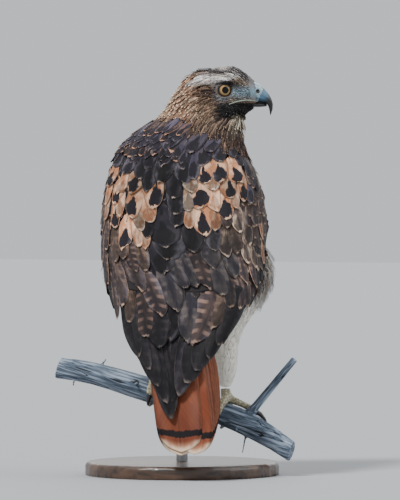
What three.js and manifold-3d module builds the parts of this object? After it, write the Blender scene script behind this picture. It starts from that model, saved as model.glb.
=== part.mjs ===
// A perched red-tailed hawk, life size, gripping a short length of branch on a plain display stand.
// Units are millimetres. +X is the bird's right, +Y is the way its breast faces and +Z is up.
// The origin is the centre of the stand's underside.
// The bird group is set at the height of the perch's top.
import * as THREE from "three";
import { mergeVertices } from "three/addons/utils/BufferGeometryUtils.js";
import Module from "manifold-3d";

const wasm = await Module();
wasm.setup();

// Driving dimensions. Heights in the bird's own parts are measured from the top of the perch.
const PERCH_TOP = 89;
const GAP = 0.34;
const LEAN = -0.0875;
const LEAN_PIVOT = 160;
const NECK_CUT = 272;
const HEAD = new THREE.Vector3(35, 45, 315);
const HEAD_TURN = 75;
const EYE_RADIUS = 10;
const TAIL_SLOPE = 0.297;
const TAIL_SKEW = 0.098;
const WING_TIP = { right: -12, left: -27 };
const MIDLINE_CLEARANCE = 0.9;
const VANE_THICKNESS = 0.64;
const PERCH_DEPTH = 11;
const PERCH_SLOPE = -0.295;
const PERCH_END = { left: -140, right: 124 };
const STANCE_CENTRE = 6.5;
const HALF_STANCE = 39.5;
const BASE_RADIUS = 102;
const BASE_HEIGHT = 14;
const ROD_RADIUS = 6;

const PLUMAGE = { color: 0x4a3a30, roughness: 0.8, metalness: 0 };
const PALE_PLUMAGE = { color: 0xcfc4a8, roughness: 0.85, metalness: 0 };
const WING_PLUMAGE = { color: 0x3a2f2b, roughness: 0.7, metalness: 0 };
const RUFOUS = { color: 0xa4573a, roughness: 0.7, metalness: 0 };
const HORN = { color: 0x4c5d6a, roughness: 0.35, metalness: 0 };
const CERE = { color: 0x9fb0a6, roughness: 0.5, metalness: 0 };
const IRIS = { color: 0xb08a4a, roughness: 0.1, metalness: 0 };
const SCALED_SKIN = { color: 0xcdbf86, roughness: 0.6, metalness: 0 };
const CLAW = { color: 0x1d1c20, roughness: 0.3, metalness: 0 };
const BRANCH = { color: 0x7f8791, roughness: 0.9, metalness: 0 };
const STAND_WOOD = { color: 0x6a5a4a, roughness: 0.6, metalness: 0 };
const ROD_METAL = { color: 0x8a8d90, roughness: 0.3, metalness: 0.9 };

// Small helpers for numbers and curves
const degrees = THREE.MathUtils.degToRad;
const mix = THREE.MathUtils.lerp;
const clamp = THREE.MathUtils.clamp;
const range = (count) => Array.from({ length: count }, (_, i) => i);
const ease = (t) => {
  const u = clamp(t, 0, 1);
  return u * u * (3 - 2 * u);
};

// A line through the pairs (station, value) that never overshoots them: a cubic between neighbours.
function through(pairs) {
  const x = pairs.map((p) => p[0]);
  const y = pairs.map((p) => p[1]);
  const rise = range(x.length - 1).map((i) => (y[i + 1] - y[i]) / (x[i + 1] - x[i]));
  const slope = x.map((_, i) => {
    if (i === 0 || i === x.length - 1) return i === 0 ? rise[0] : rise[i - 1];
    const [a, b] = [rise[i - 1], rise[i]];
    return a * b <= 0 ? 0 : (2 * a * b) / (a + b);
  });
  return (s) => {
    const at = clamp(s, x[0], x[x.length - 1]);
    let i = 0;
    while (i < x.length - 2 && at > x[i + 1]) i += 1;
    const h = x[i + 1] - x[i];
    const t = (at - x[i]) / h;
    const [t2, t3] = [t * t, t * t * t];
    return (
      (2 * t3 - 3 * t2 + 1) * y[i] +
      (t3 - 2 * t2 + t) * h * slope[i] +
      (3 * t2 - 2 * t3) * y[i + 1] +
      (t3 - t2) * h * slope[i + 1]
    );
  };
}

// One line for each column after the first of a table whose first column is the station
const columns = (table) =>
  range(table[0].length - 1).map((c) => through(table.map((row) => [row[0], row[c + 1]])));

// A power of a sine or cosine that keeps its sign, for the rounded-square outline of a section
const signed = (value, power) => Math.sign(value) * Math.abs(value) ** power;

// A closed skin over rings of points, each end closed by a fan to the ring's centre
function loft(rings) {
  const count = rings[0].length;
  const points = rings.flat();
  const faces = [];
  for (let r = 0; r + 1 < rings.length; r += 1)
    for (let k = 0; k < count; k += 1) {
      const [a, b] = [r * count + k, r * count + ((k + 1) % count)];
      faces.push(a, b, b + count, a, b + count, a + count);
    }
  for (const [ring, flip] of [[0, true], [rings.length - 1, false]]) {
    const centre = new THREE.Vector3();
    rings[ring].forEach((p) => centre.addScaledVector(p, 1 / count));
    points.push(centre);
    for (let k = 0; k < count; k += 1) {
      const [a, b] = [ring * count + k, ring * count + ((k + 1) % count)];
      faces.push(...(flip ? [b, a, points.length - 1] : [a, b, points.length - 1]));
    }
  }
  const geometry = new THREE.BufferGeometry().setFromPoints(points);
  return geometry.setIndex(faces);
}

// A geometry as a solid, turned the right way out
function solid(geometry) {
  const bare = new THREE.BufferGeometry();
  bare.setAttribute("position", geometry.getAttribute("position"));
  if (geometry.index) bare.setIndex(geometry.index);
  const merged = mergeVertices(bare, 1e-4);
  const vertProperties = merged.attributes.position.array;
  const triVerts = new Uint32Array(merged.index.array);
  const made = new wasm.Manifold(new wasm.Mesh({ numProp: 3, vertProperties, triVerts }));
  if (made.volume() > 0) return made;
  for (let i = 0; i < triVerts.length; i += 3)
    [triVerts[i + 1], triVerts[i + 2]] = [triVerts[i + 2], triVerts[i + 1]];
  return new wasm.Manifold(new wasm.Mesh({ numProp: 3, vertProperties, triVerts }));
}

// The same solid with each corner moved outwards by a distance, to cut a neighbour clear of it
function grown(body, distance = GAP) {
  const mesh = body.getMesh();
  const old = mesh.vertProperties;
  const normals = new Float32Array(old.length);
  const corner = (i) => new THREE.Vector3().fromArray(old, i * 3);
  for (let i = 0; i < mesh.triVerts.length; i += 3) {
    const ids = [0, 1, 2].map((k) => mesh.triVerts[i + k]);
    const [a, b, c] = ids.map(corner);
    const face = b.clone().sub(a).cross(c.clone().sub(a)).normalize();
    [[a, b, c], [b, c, a], [c, a, b]].forEach(([p, q, r], k) => {
      const angle = q.clone().sub(p).angleTo(r.clone().sub(p)) || 0;
      face.toArray().forEach((v, axis) => {
        normals[ids[k] * 3 + axis] += v * angle;
      });
    });
  }
  const moved = new Float32Array(old.length);
  for (let i = 0; i < old.length; i += 3) {
    const n = new THREE.Vector3().fromArray(normals, i).normalize();
    corner(i / 3).addScaledVector(n, distance).toArray(moved, i);
  }
  return new wasm.Manifold(
    new wasm.Mesh({ numProp: 3, vertProperties: moved, triVerts: mesh.triVerts }),
  );
}

const join = (pieces) => wasm.Manifold.union(pieces);
const cut = (body, ...others) => others.reduce((left, other) => left.subtract(other), body);

// The largest closed surface of a solid, with any loose scrap dropped
function largest(body) {
  const pieces = body.decompose().sort((a, b) => b.volume() - a.volume());
  return pieces[0];
}

function meshOf(name, body, finish) {
  const { vertProperties, triVerts } = largest(body).getMesh();
  const geometry = new THREE.BufferGeometry();
  geometry.setAttribute("position", new THREE.BufferAttribute(vertProperties, 3));
  geometry.setIndex(new THREE.BufferAttribute(triVerts, 1));
  geometry.computeVertexNormals();
  const mesh = new THREE.Mesh(geometry, new THREE.MeshStandardMaterial(finish));
  mesh.name = name;
  return mesh;
}

// A tube of round sections along points, each with its own radius
function tube(points, radii, sides) {
  const path = new THREE.CatmullRomCurve3(points);
  let across = new THREE.Vector3(0.31, 0.53, 0.79);
  const rings = radii.map((radius, i) => {
    const t = i / (radii.length - 1);
    const along = path.getTangent(t);
    const side = new THREE.Vector3().crossVectors(along, across).normalize();
    across = new THREE.Vector3().crossVectors(side, along).normalize();
    const centre = path.getPoint(t);
    return range(sides).map((k) => {
      const turn = (2 * Math.PI * k) / sides;
      return centre
        .clone()
        .addScaledVector(side, radius * Math.cos(turn))
        .addScaledVector(across, radius * Math.sin(turn));
    });
  });
  return solid(loft(rings));
}

// The bird stands a little askew: its lower parts are further to its right
const lean = (height) => LEAN * (height - LEAN_PIVOT);

// Body: level slices from the feathers under the tail to the top of the neck.
// Each row is height, back, front, half width and shift to the right of the lean line.
const BODY = [
  [6, -93, -87, 12, 8],
  [24, -86, -70, 22, 5],
  [44, -80, -40, 34, 2],
  [64, -75, -2, 47, 0],
  [88, -70, 40, 60, 0],
  [115, -66, 70, 72, 0],
  [145, -55, 87, 79, 0],
  [175, -46, 95, 81, 0],
  [205, -36, 97, 80, 0],
  [228, -27, 93, 75, 0],
  [246, -22, 84, 69, 3],
  [262, -16, 75, 61, 7],
  [276, -11, 71, 52, 12.5],
  [290, -3, 70, 43.5, 21.5],
  [303, 5, 70, 34.5, 27],
  [316, 15, 68, 27, 28.5],
  [322, 22, 62, 19, 28.5],
];
const [bodyBack, bodyFront, bodyWidth, bodyShift] = columns(BODY);
const BODY_SIDES = 20;
const BODY_RINGS = 20;
const BODY_SQUARE = 0.92;

function bodyPoint(height, turn) {
  const [back, front, width] = [bodyBack(height), bodyFront(height), bodyWidth(height)];
  const middle = mix(back, front, 0.47);
  const reach = Math.cos(turn) > 0 ? middle - back : front - middle;
  return new THREE.Vector3(
    lean(height) + bodyShift(height) + width * signed(Math.sin(turn), BODY_SQUARE),
    middle - reach * signed(Math.cos(turn), BODY_SQUARE),
    height,
  );
}

function bodySolid() {
  const [low, high] = [BODY[0][0], BODY[BODY.length - 1][0]];
  const rings = range(BODY_RINGS).map((r) => {
    const height = mix(low, high, r / (BODY_RINGS - 1));
    return range(BODY_SIDES).map((k) => bodyPoint(height, (2 * Math.PI * k) / BODY_SIDES));
  });
  return solid(loft(rings));
}

// Head, in its own frame: x is forward along the bill, y is to the head's left and z is up from the
// eyes' level.
// Each row is distance forward, top, bottom and half width.
const SKULL = [
  [-47, -2, -14, 5],
  [-43, 7, -24, 14],
  [-36, 14, -31, 21],
  [-26, 20, -35, 26],
  [-13, 23.8, -36, 28],
  [0, 24.8, -33, 27.5],
  [11, 23, -30, 24.5],
  [20, 18.5, -26.5, 19.5],
  [27, 13.5, -22.5, 14.5],
  [33, 7.5, -18.6, 9.5],
  [36, 3, -14, 6],
];
const [skullTop, skullBottom, skullWidth] = columns(SKULL);
const SKULL_SIDES = 18;
const SKULL_RINGS = 13;

function skullPoint(forward, turn) {
  const [top, bottom, width] = [skullTop(forward), skullBottom(forward), skullWidth(forward)];
  const middle = mix(bottom, top, 0.56);
  const reach = Math.cos(turn) > 0 ? top - middle : middle - bottom;
  return new THREE.Vector3(
    forward,
    width * signed(Math.sin(turn), 0.94),
    middle + reach * signed(Math.cos(turn), 0.94),
  );
}

const [FORWARD_LOW, FORWARD_HIGH] = [SKULL[0][0], SKULL[SKULL.length - 1][0]];
const skullSolid = () =>
  solid(
    loft(
      range(SKULL_RINGS).map((r) => {
        const t = (1 - Math.cos((Math.PI * r) / (SKULL_RINGS - 1))) / 2;
        const forward = mix(FORWARD_LOW, FORWARD_HIGH, t);
        return range(SKULL_SIDES).map((k) => skullPoint(forward, (2 * Math.PI * k) / SKULL_SIDES));
      }),
    ),
  );

// Bill with its cere: sections between the culmen line and the cutting edge, each with its half width
const BILL = [
  [0, 22, 12, 22, -12.2, 11],
  [0.18, 31, 8, 31, -12.4, 9.2],
  [0.36, 38, 4.4, 37.2, -12.9, 8],
  [0.5, 42.6, -0.4, 40.8, -13.8, 6.8],
  [0.62, 46.4, -5.4, 43.4, -15, 5.6],
  [0.74, 49.2, -11, 45, -16.8, 4.3],
  [0.84, 50.4, -16.4, 46, -19.4, 3],
  [0.93, 49.8, -22, 46.9, -23.2, 1.7],
  [1, 47.8, -27.4, 47.5, -27.2, 0.3],
];
const [culmenX, culmenZ, edgeX, edgeZ, billWidth] = columns(BILL);
const BILL_SIDES = 12;
const BILL_RINGS = 12;

function billSolid() {
  const rings = range(BILL_RINGS).map((r) => {
    const t = r / (BILL_RINGS - 1);
    const top = new THREE.Vector3(culmenX(t), 0, culmenZ(t));
    const edge = new THREE.Vector3(edgeX(t), 0, edgeZ(t));
    return range(BILL_SIDES).map((k) => {
      const turn = (2 * Math.PI * k) / BILL_SIDES;
      const down = (1 - signed(Math.cos(turn), 0.85)) / 2;
      const point = top.clone().lerp(edge, down);
      point.y = billWidth(t) * signed(Math.sin(turn), 0.85) * (0.86 + 0.24 * down);
      return point;
    });
  });
  return solid(loft(rings));
}

// Lower mandible, tucked under the cutting edge of the upper one.
// Each row is forward, top, bottom, half width.
const LOWER_BILL = [
  [22, -12.9, -18, 9],
  [30, -13, -18.2, 7.8],
  [36, -13.5, -18.1, 6],
  [40, -14.3, -17.8, 4.2],
  [43.4, -15.8, -17.3, 1.6],
];
const [lowerTop, lowerBottom, lowerWidth] = columns(LOWER_BILL);

function lowerBillSolid() {
  const rings = range(7).map((r) => {
    const x = mix(22, 43.4, r / 6);
    const middle = (lowerTop(x) + lowerBottom(x)) / 2;
    const reach = (lowerTop(x) - lowerBottom(x)) / 2;
    return range(8).map((k) => {
      const turn = (2 * Math.PI * k) / 8;
      const y = lowerWidth(x) * Math.sin(turn);
      return new THREE.Vector3(x, y, middle + reach * Math.cos(turn));
    });
  });
  return solid(loft(rings));
}

// The half space before (1) or behind (-1) the slanted plane between cere and bill, as a large box
const CERE_EDGE = { x: 38.6, z: -3.6, tilt: degrees(28) };
function slab(way, start) {
  const box = new THREE.BoxGeometry(80, 80, 80).translate(way * 40 + start, 0, 0);
  return solid(box.rotateY(CERE_EDGE.tilt).translate(CERE_EDGE.x, 0, CERE_EDGE.z));
}

const sphereAt = (radius, centre, scale = [1, 1, 1], segments = 16) => {
  const ball = new THREE.SphereGeometry(radius, segments, Math.round(segments * 0.6));
  return solid(ball.scale(...scale).translate(centre.x, centre.y, centre.z));
};

// An eye and its socket: a ball set deep behind a flared opening that faces a little forward,
// with a ring of lid
const EYE = { centre: [-2.7, 16.8, 0], forward: degrees(17), lidRing: 7, lidDepth: 7.7 };

function eyePieces(side) {
  const turned = (geometry, along) =>
    solid(
      geometry
        .translate(0, along, 0)
        .rotateZ(-EYE.forward)
        .scale(1, side, 1)
        .translate(EYE.centre[0], side * EYE.centre[1], EYE.centre[2]),
    );
  return {
    ball: turned(new THREE.SphereGeometry(EYE_RADIUS, 12, 7), 0),
    socket: turned(new THREE.CylinderGeometry(10.4, 6.9, 10, 12), 10.5),
    lid: turned(new THREE.TorusGeometry(EYE.lidRing, 1.15, 4, 12).rotateX(Math.PI / 2), EYE.lidDepth),
  };
}

// A round cord along points given for the head's left side, mirrored for the other
const headCord = (side, points, radii, sides) =>
  tube(points.map(([x, y, z]) => new THREE.Vector3(x, side * y, z)), radii, sides);
const BROW = [
  [-16, 21.8, 10.8],
  [-8, 25.8, 10],
  [1, 26.4, 8.8],
  [10, 23.4, 7.6],
  [18, 17.6, 5.2],
];
const MOUTH = [
  [4, 27, -14.6],
  [12, 24, -12.2],
  [20, 19.6, -10.8],
  [28, 14.5, -11],
  [35, 10, -12.4],
];

// The head's pieces, made in the head's frame and then turned to face along the bill
function headPieces() {
  const skull = skullSolid();
  const bill = billSolid();
  const lower = lowerBillSolid();
  const [leftEye, rightEye] = [1, -1].map(eyePieces);
  const eyes = [leftEye, rightEye];
  const brows = [1, -1].map((side) => headCord(side, BROW, [1.4, 2.8, 2.9, 2.2, 1.1], 6));
  const mouth = [1, -1].map((side) => headCord(side, MOUTH, [0.5, 0.9, 0.9, 0.9], 4));
  const nostrils = [1, -1].map((side) =>
    sphereAt(1, new THREE.Vector3(34.4, side * 8.6, -1.4), [1.9, 2.2, 1.2], 8),
  );
  const hollow = cut(skull, ...eyes.map((eye) => eye.socket));
  const face = join([hollow, ...brows, ...eyes.map((eye) => eye.lid)]);
  const rooms = [...eyes.map((eye) => eye.ball), bill, lower].map((piece) => grown(piece));
  return {
    envelope: skull,
    head: cut(face, ...rooms, ...mouth),
    eye_left: leftEye.ball,
    eye_right: rightEye.ball,
    cere: cut(bill, slab(1, -GAP), ...nostrils),
    bill_upper: cut(bill, slab(-1, 0)),
    bill_lower: cut(lower, grown(bill)),
  };
}

// Carries a solid from the head's frame to the bird's: forward becomes the turned bill's direction
function toBird(body) {
  const turn = 90 - HEAD_TURN;
  return body.rotate([0, 0, turn]).translate(HEAD.toArray());
}

// Wing: the folded wing's outer surface. Each row is height, back, depth, half width, the leading edge's
// turn round the body in degrees and a shift to the right.
const WING = [
  [-30, -126, 4, 7, 66, 4],
  [-14, -122, 6, 11, 68, 3],
  [0, -118, 8, 18, 70, 3],
  [20, -112.5, 12, 31, 74, 3.5],
  [40, -106.5, 19, 47, 78, 2.5],
  [60, -100.5, 31, 61, 82, 2],
  [80, -94.5, 43, 71, 86, 4.5],
  [105, -86, 56, 81.5, 92, 5],
  [135, -74, 68, 87, 98, 1.5],
  [165, -62, 74, 89, 105, 0],
  [195, -49.5, 72, 87, 112, -0.5],
  [215, -41, 66, 83, 117, -1],
  [235, -32.5, 59, 77, 120, -1],
  [255, -23.5, 48, 66, 118, 0],
  [265, -19, 42, 58, 112, 0],
];
const [wingBack, wingDepth, wingWidth, wingEdge, wingShift] = columns(WING);
const backTwist = through([[90, 0], [140, -4], [200, -8], [265, -8]]);

// A point of a wing's outer surface: across runs from 0 at the back's midline to 1 at the leading edge
function wingSurface(side, height, across) {
  const [back, depth, width] = [wingBack(height), wingDepth(height), wingWidth(height)];
  const start = Math.asin(MIDLINE_CLEARANCE / width);
  const turn = mix(start, degrees(wingEdge(height)), across);
  const angle = side * turn + degrees(backTwist(height));
  const middle = back + depth;
  const front = Math.max(depth, bodyFront(height) + 4 - middle);
  const reach = Math.cos(angle) > 0 ? depth : front;
  return new THREE.Vector3(
    lean(height) + wingShift(height) + width * signed(Math.sin(angle), BODY_SQUARE),
    middle - reach * signed(Math.cos(angle), BODY_SQUARE),
    height,
  );
}

// The same point lifted along the surface's normal
function wingPoint(side, height, across, lift) {
  const step = 0.01;
  const inward = wingSurface(side, height, across - step);
  const outward = wingSurface(side, height, across + step);
  const down = wingSurface(side, height - 1, across);
  const up = wingSurface(side, height + 1, across);
  const normal = outward.sub(inward).cross(up.sub(down)).multiplyScalar(side).normalize();
  return wingSurface(side, height, across).addScaledVector(normal, lift);
}

// Length of the surface from the midline to the leading edge at each height
const wingSpan = through(
  WING.map(([height]) => {
    const steps = range(12).map((i) => i / 12);
    const lengths = steps.map((v) =>
      wingSurface(1, height, v).distanceTo(wingSurface(1, height, v + 1 / 12)),
    );
    return [height, lengths.reduce((sum, length) => sum + length, 0)];
  }),
);

// A closed shell between two grids of points with the same rows and columns, split alike on both faces
function shellOf(outer, inner, rows, cols) {
  const faces = [];
  const half = outer.length;
  const quad = (a, b, c, d) => faces.push(a, b, c, a, c, d);
  for (let r = 0; r + 1 < rows; r += 1)
    for (let c = 0; c + 1 < cols; c += 1) {
      const [a, b] = [r * cols + c, r * cols + c + 1];
      const [d, e] = [a + cols, b + cols];
      quad(a, b, e, d);
      faces.push(half + a, half + e, half + b, half + a, half + d, half + e);
    }
  for (let c = 0; c + 1 < cols; c += 1) {
    const last = (rows - 1) * cols;
    quad(c + 1, c, half + c, half + c + 1);
    quad(last + c, last + c + 1, half + last + c + 1, half + last + c);
  }
  for (let r = 0; r + 1 < rows; r += 1) {
    const [a, b] = [r * cols, (r + 1) * cols];
    const [d, e] = [a + cols - 1, b + cols - 1];
    quad(a, b, half + b, half + a);
    quad(e, d, half + d, half + e);
  }
  return new THREE.BufferGeometry().setFromPoints([...outer, ...inner]).setIndex(faces);
}

// The wing's core of flesh and feather roots, from a domed top edge to the row where the long
// feathers leave it
const CORE_ROWS = 8;
const CORE_COLUMNS = 7;
const coreTop = (across) => 246 + 11 * Math.sin(Math.PI * across);
const coreBottom = (across) => mix(66, 80, across);
const coreThickness = through([[0, 3], [0.1, 10], [0.3, 13], [0.7, 12], [1, 9.5]]);

function wingCore(side) {
  const [outer, inner] = [[], []];
  for (let r = 0; r <= CORE_ROWS; r += 1) {
    const down = r / CORE_ROWS;
    for (let c = 0; c <= CORE_COLUMNS; c += 1) {
      const across = c / CORE_COLUMNS;
      const height = mix(coreTop(across), coreBottom(across), down);
      const sunk = -1.6 * (1 - ease(down / 0.1));
      const thin = 1 - 0.55 * ease((across - 0.75) / 0.25);
      outer.push(wingPoint(side, height, across, sunk));
      inner.push(wingPoint(side, height, across, sunk - coreThickness(down) * thin));
    }
  }
  return solid(shellOf(outer, inner, CORE_ROWS + 1, CORE_COLUMNS + 1));
}

// One feather's vane on a surface, as a thin curved plate with a rounded tip. place(u, h, lift) gives
// the point of the surface u millimetres from its midline at height h. The vane runs from root to tip,
// each [u, h, lift], and its outer edge is raised by roll for each millimetre from the shaft.
// An outline pairs shares of the length with shares of the width.
const BROAD = [[0, 0.84], [0.55, 1], [0.92, 0.62]];
const LONG = [[0, 0.66], [0.5, 0.95], [0.84, 0.96], [0.965, 0.52]];
const POINTED = [[0, 0.8], [0.5, 1], [0.8, 0.92], [0.97, 0.45]];

function vane(place, root, tip, width, roll, outline) {
  const line = new THREE.Vector2(tip[0] - root[0], tip[1] - root[1]).normalize();
  const [outer, inner] = [[], []];
  outline.forEach(([share, size], row) => {
    for (const t of [-1, 0, 1]) {
      const along = row === outline.length - 1 && t === 0 ? 1 : share;
      const offset = (t * width * size) / 2;
      const u = mix(root[0], tip[0], along) - line.y * offset;
      const h = mix(root[1], tip[1], along) + line.x * offset;
      const lift = mix(root[2], tip[2], along) + roll * offset;
      outer.push(place(u, h, lift));
      inner.push(place(u, h, lift - VANE_THICKNESS));
    }
  });
  return solid(shellOf(outer, inner, outline.length, 3));
}

// Feather tiers of one wing, from the lowest up: how many, the range of their shares of the span,
// the height of the tip at a share, the length, the width, the lift of root and tip above the surface
// and the roll
const WING_TIERS = [
  [7, [0.17, 0.92], (v) => 51 + 110 * Math.max(0, v - 0.5) ** 2, 50, 27, [-2, 0.2], 0.1, LONG],
  [2, [0.16, 0.27], (v) => 124 - 250 * v, 42, 29, [-1.6, 2.1], 0.07, LONG],
  [6, [0.26, 0.92], (v) => 114 - 24 * v, 28, 29, [-1.9, 1.6], 0.085, BROAD],
  [6, [0.13, 0.92], (v) => 146 - 18 * v, 27, 34, [-1.9, 1.6], 0.075, BROAD],
  [6, [0.15, 0.93], (v) => 176 - 11 * v, 27, 34, [-1.9, 1.6], 0.075, BROAD],
  [6, [0.13, 0.92], (v) => 204 - 8 * v, 27, 33, [-1.9, 1.6], 0.075, BROAD],
  [4, [0.18, 0.8], (v) => 231 - 6 * v, 24, 40, [-2.2, 1], 0.06, BROAD],
];

// Primaries, innermost first: distances of root and tip from the midline, the tip's height above the
// wing's own tip and the width. Each lies under the one before it. The left wing is closed further
// than the right one.
const PRIMARIES = [
  [26, 15, 52, 36],
  [36, 17, 38, 35],
  [44, 13, 27, 31],
  [52, 9.5, 17, 25],
  [60, 6.5, 8, 18],
  [66, 4, 0, 12],
];
const PRIMARY_STEP = 1.02;
const PRIMARY_ROOT = 102;
const CLOSED = { right: 1, left: 0.78 };

// The share of the way from midline to leading edge that lies a level distance from the midline
function acrossAt(distance, height) {
  const turn = Math.asin(clamp(distance / wingWidth(height), 0, 1) ** (1 / BODY_SQUARE));
  return clamp(turn / degrees(wingEdge(height)), 0.01, 1.02);
}

function wingSolid(side, name) {
  const place = (u, h, lift) => wingPoint(side, h, clamp(u / wingSpan(h), 0, 1.02), lift);
  const level = (u, h, lift) => wingPoint(side, h, acrossAt(u, h), lift);
  const at = (height, across, lift) => [across * wingSpan(height), height, lift];
  const shut = CLOSED[name];
  const feathers = PRIMARIES.map(([rootAt, tipAt, above, width], i) => {
    const depth = -1.6 - i * PRIMARY_STEP;
    const root = [rootAt * shut, PRIMARY_ROOT - i, Math.max(depth - 0.9, -8.4)];
    return vane(level, root, [tipAt * shut, WING_TIP[name] + above, depth], width * shut, 0.02, POINTED);
  });
  for (const [count, across, tip, length, width, [low, high], roll, outline] of WING_TIERS)
    for (const i of range(count)) {
      const v = mix(...across, i / (count - 1));
      const size = 1 + 0.04 * Math.sin(7.3 * i + count + side);
      const root = at(tip(v) + length * size, v, low);
      feathers.push(vane(place, root, at(tip(v), v, high), width * size, roll, outline));
    }
  return join([wingCore(side), ...feathers]);
}

// The room that a wing takes with all its feathers, for cutting the thigh clear of it
function wingRoom(side) {
  const [outer, inner] = [[], []];
  for (const r of range(9))
    for (const c of range(7)) {
      const across = (1.07 * c) / 6;
      const height = mix(coreTop(across) + 2, 40, r / 8);
      outer.push(wingPoint(side, height, across, 4.4));
      inner.push(wingPoint(side, height, across, -10 - 4 * (1 - across)));
    }
  return solid(shellOf(outer, inner, 9, 7));
}

// Tail: a stack of feathers behind the body. A place in it is an offset from its line, a height and
// a depth
// below its upper surface, which arches down to both sides.
const tailLine = (height) => lean(height) + TAIL_SKEW * (95 - height);
function tailPoint(offset, height, depth) {
  const arch = 2.2 * (offset / 36) ** 2;
  const normal = new THREE.Vector3(0, -1, TAIL_SLOPE).normalize();
  const top = new THREE.Vector3(tailLine(height) + offset, -94 - TAIL_SLOPE * (40 - height), height);
  return top.addScaledVector(normal, -depth - arch);
}

// The block of flesh and feather roots that the tail feathers grow from
const RECTRIX_STEP = 1.04;
const TAIL_ROOT = { top: 118, bottom: 52 };

function tailRoot() {
  const outer = [];
  const inner = [];
  for (const r of range(4))
    for (const c of range(5)) {
      const height = mix(TAIL_ROOT.top, TAIL_ROOT.bottom, r / 3);
      const half = mix(20, 27, r / 3);
      const offset = mix(-half, half, c / 4) + 3 * (r / 3);
      outer.push(tailPoint(offset, height, -0.6));
      inner.push(tailPoint(offset, height, 12 * RECTRIX_STEP + 0.6));
    }
  return solid(shellOf(outer, inner, 4, 5));
}

// Tail feathers of one side, from the central one outwards: offset at the root, offset and height of
// the tip, width
const RECTRIX_OUTLINE = [[0, 0.56], [0.45, 0.9], [0.86, 1], [0.97, 0.62]];
const RECTRICES = {
  left: (i) => [-2 - 2 * i, -3.5 - 1.1 * i, [-59, -63, -60, -55, -49, -42][i], 45 - i],
  right: (i) => [2 + 2.4 * i, 12 + 2.4 * i, [-60, -58, -54, -50, -45, -39][i], 44 - i],
};

function tailSolid() {
  const feathers = [];
  for (const i of range(6))
    for (const name of ["left", "right"]) {
      const [rootOffset, tipOffset, tipHeight, width] = RECTRICES[name](i);
      const depth = RECTRIX_STEP * (2 * i + (name === "left" ? 0 : 1));
      const bow = name === "right" ? 3 + i : 0;
      const place = (u, h, lift) => {
        const s = clamp((90 - h) / (90 - tipHeight), 0, 1);
        return tailPoint(u + bow * Math.sin(Math.PI * s), h, -lift);
      };
      const root = [rootOffset, 90, -depth];
      feathers.push(vane(place, root, [tipOffset, tipHeight, -depth], -width, 0, RECTRIX_OUTLINE));
    }
  const coverts = range(3).map((i) => {
    const offset = (i - 1) * 16 + 2;
    const tip = [offset * 1.1, 44 + 4 * Math.abs(i - 1), 1.2];
    const place = (u, h, lift) => tailPoint(u, h, -lift);
    return vane(place, [offset, 80, -0.8], tip, -24, 0.05 * (i - 1), BROAD);
  });
  return join([tailRoot(), ...feathers, ...coverts]);
}

// Perch: a weathered branch that bends down to the right. A place on it is a distance to the right
// along its line, a turn from its top towards the front and a radius.
const perchAxis = new THREE.Vector3(1, 0, PERCH_SLOPE).normalize();
const perchUp = new THREE.Vector3(-PERCH_SLOPE, 0, 1).normalize();
const perchForward = new THREE.Vector3(0, 1, 0);
const perchDrop = (right) =>
  0.0022 * Math.max(0, right - 36) ** 2 + 0.002 * Math.max(0, -80 - right) ** 2;
const perchRadius = through([
  [-140, 11.4],
  [-90, 11.9],
  [-45, 13.2],
  [0, 12.8],
  [40, 12.1],
  [74, 13.2],
  [94, 12],
  [PERCH_END.right, 10.6],
]);

function onPerch(right, turn, radius) {
  return new THREE.Vector3(0, 0, -PERCH_DEPTH - perchDrop(right))
    .addScaledVector(perchAxis, right)
    .addScaledVector(perchUp, radius * Math.cos(turn))
    .addScaledVector(perchForward, radius * Math.sin(turn));
}

function perchSolid() {
  const rings = range(14).map((r) => {
    const right = mix(PERCH_END.left, PERCH_END.right, r / 13);
    return range(12).map((k) => {
      const turn = (2 * Math.PI * k) / 12;
      const ridge = 0.35 * Math.sin(3 * turn + right / 40) + 0.25 * Math.sin(5 * turn - right / 23);
      return onPerch(right, turn, perchRadius(right) + ridge);
    });
  });
  const fork = onPerch(70, 0, 3);
  const rise = new THREE.Vector3(Math.cos(degrees(50)), 0, Math.sin(degrees(50)));
  const onBranch = (distance) => fork.clone().addScaledVector(rise, distance);
  const branch = tube([0, 10, 20, 50, 84].map(onBranch), [7.4, 6, 4.6, 4.1, 3.7], 8);
  // Each spur: distance to the right, turn, length and root radius
  const spurs = [
    [66, -118, 7, 2.3],
    [76, -165, 17, 1.3],
    [-50, -75, 7, 1.7],
    [-119, -150, 8, 1.6],
    [-96, 20, 6, 1.6],
  ].map(([right, turn, length, radius]) => {
    const base = perchRadius(right) - 3;
    const line = [0, 1].map((t) => onPerch(right + 3 * t, degrees(turn), base + (length + 3) * t));
    return tube(line, [radius, radius * 0.55], 5);
  });
  return join([solid(loft(rings)), branch, ...spurs]);
}

// Legs and feet. A foot stands at its own distance along the perch; each toe wraps round it.
const footPlace = { left: STANCE_CENTRE - HALF_STANCE, right: STANCE_CENTRE + HALF_STANCE };
// Each toe: name, how far it splays along the perch, the turns where it starts and ends, and its radius
const TOES = [
  ["inner", -13, 20, 104, 5],
  ["middle", 1, 22, 122, 4.9],
  ["outer", 15, 20, 100, 4.3],
  ["hind", -2, -20, -96, 5],
];
const CLAW_TURN = { inner: 60, middle: 52, outer: 50, hind: 66 };
// The right foot's outer toe lies along the perch
const SPREAD = { splay: 30, end: 34, clawTurn: 19, clawReach: 16 };
const toeSpreads = (side, name) => side > 0 && name === "outer";

function toePath(side, [name, splay, from, to, thick]) {
  const start = footPlace[side > 0 ? "right" : "left"];
  const out = toeSpreads(side, name) ? SPREAD.splay : splay;
  const end = toeSpreads(side, name) ? SPREAD.end : to;
  return range(6).map((i) => {
    const t = i / 5;
    const right = start + side * out * ease(t * 1.1) * (0.35 + 0.65 * t);
    const turn = degrees(mix(from * 0.3, end, t));
    return { right, turn, radius: thick * mix(1, 0.8, t) };
  });
}

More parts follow.
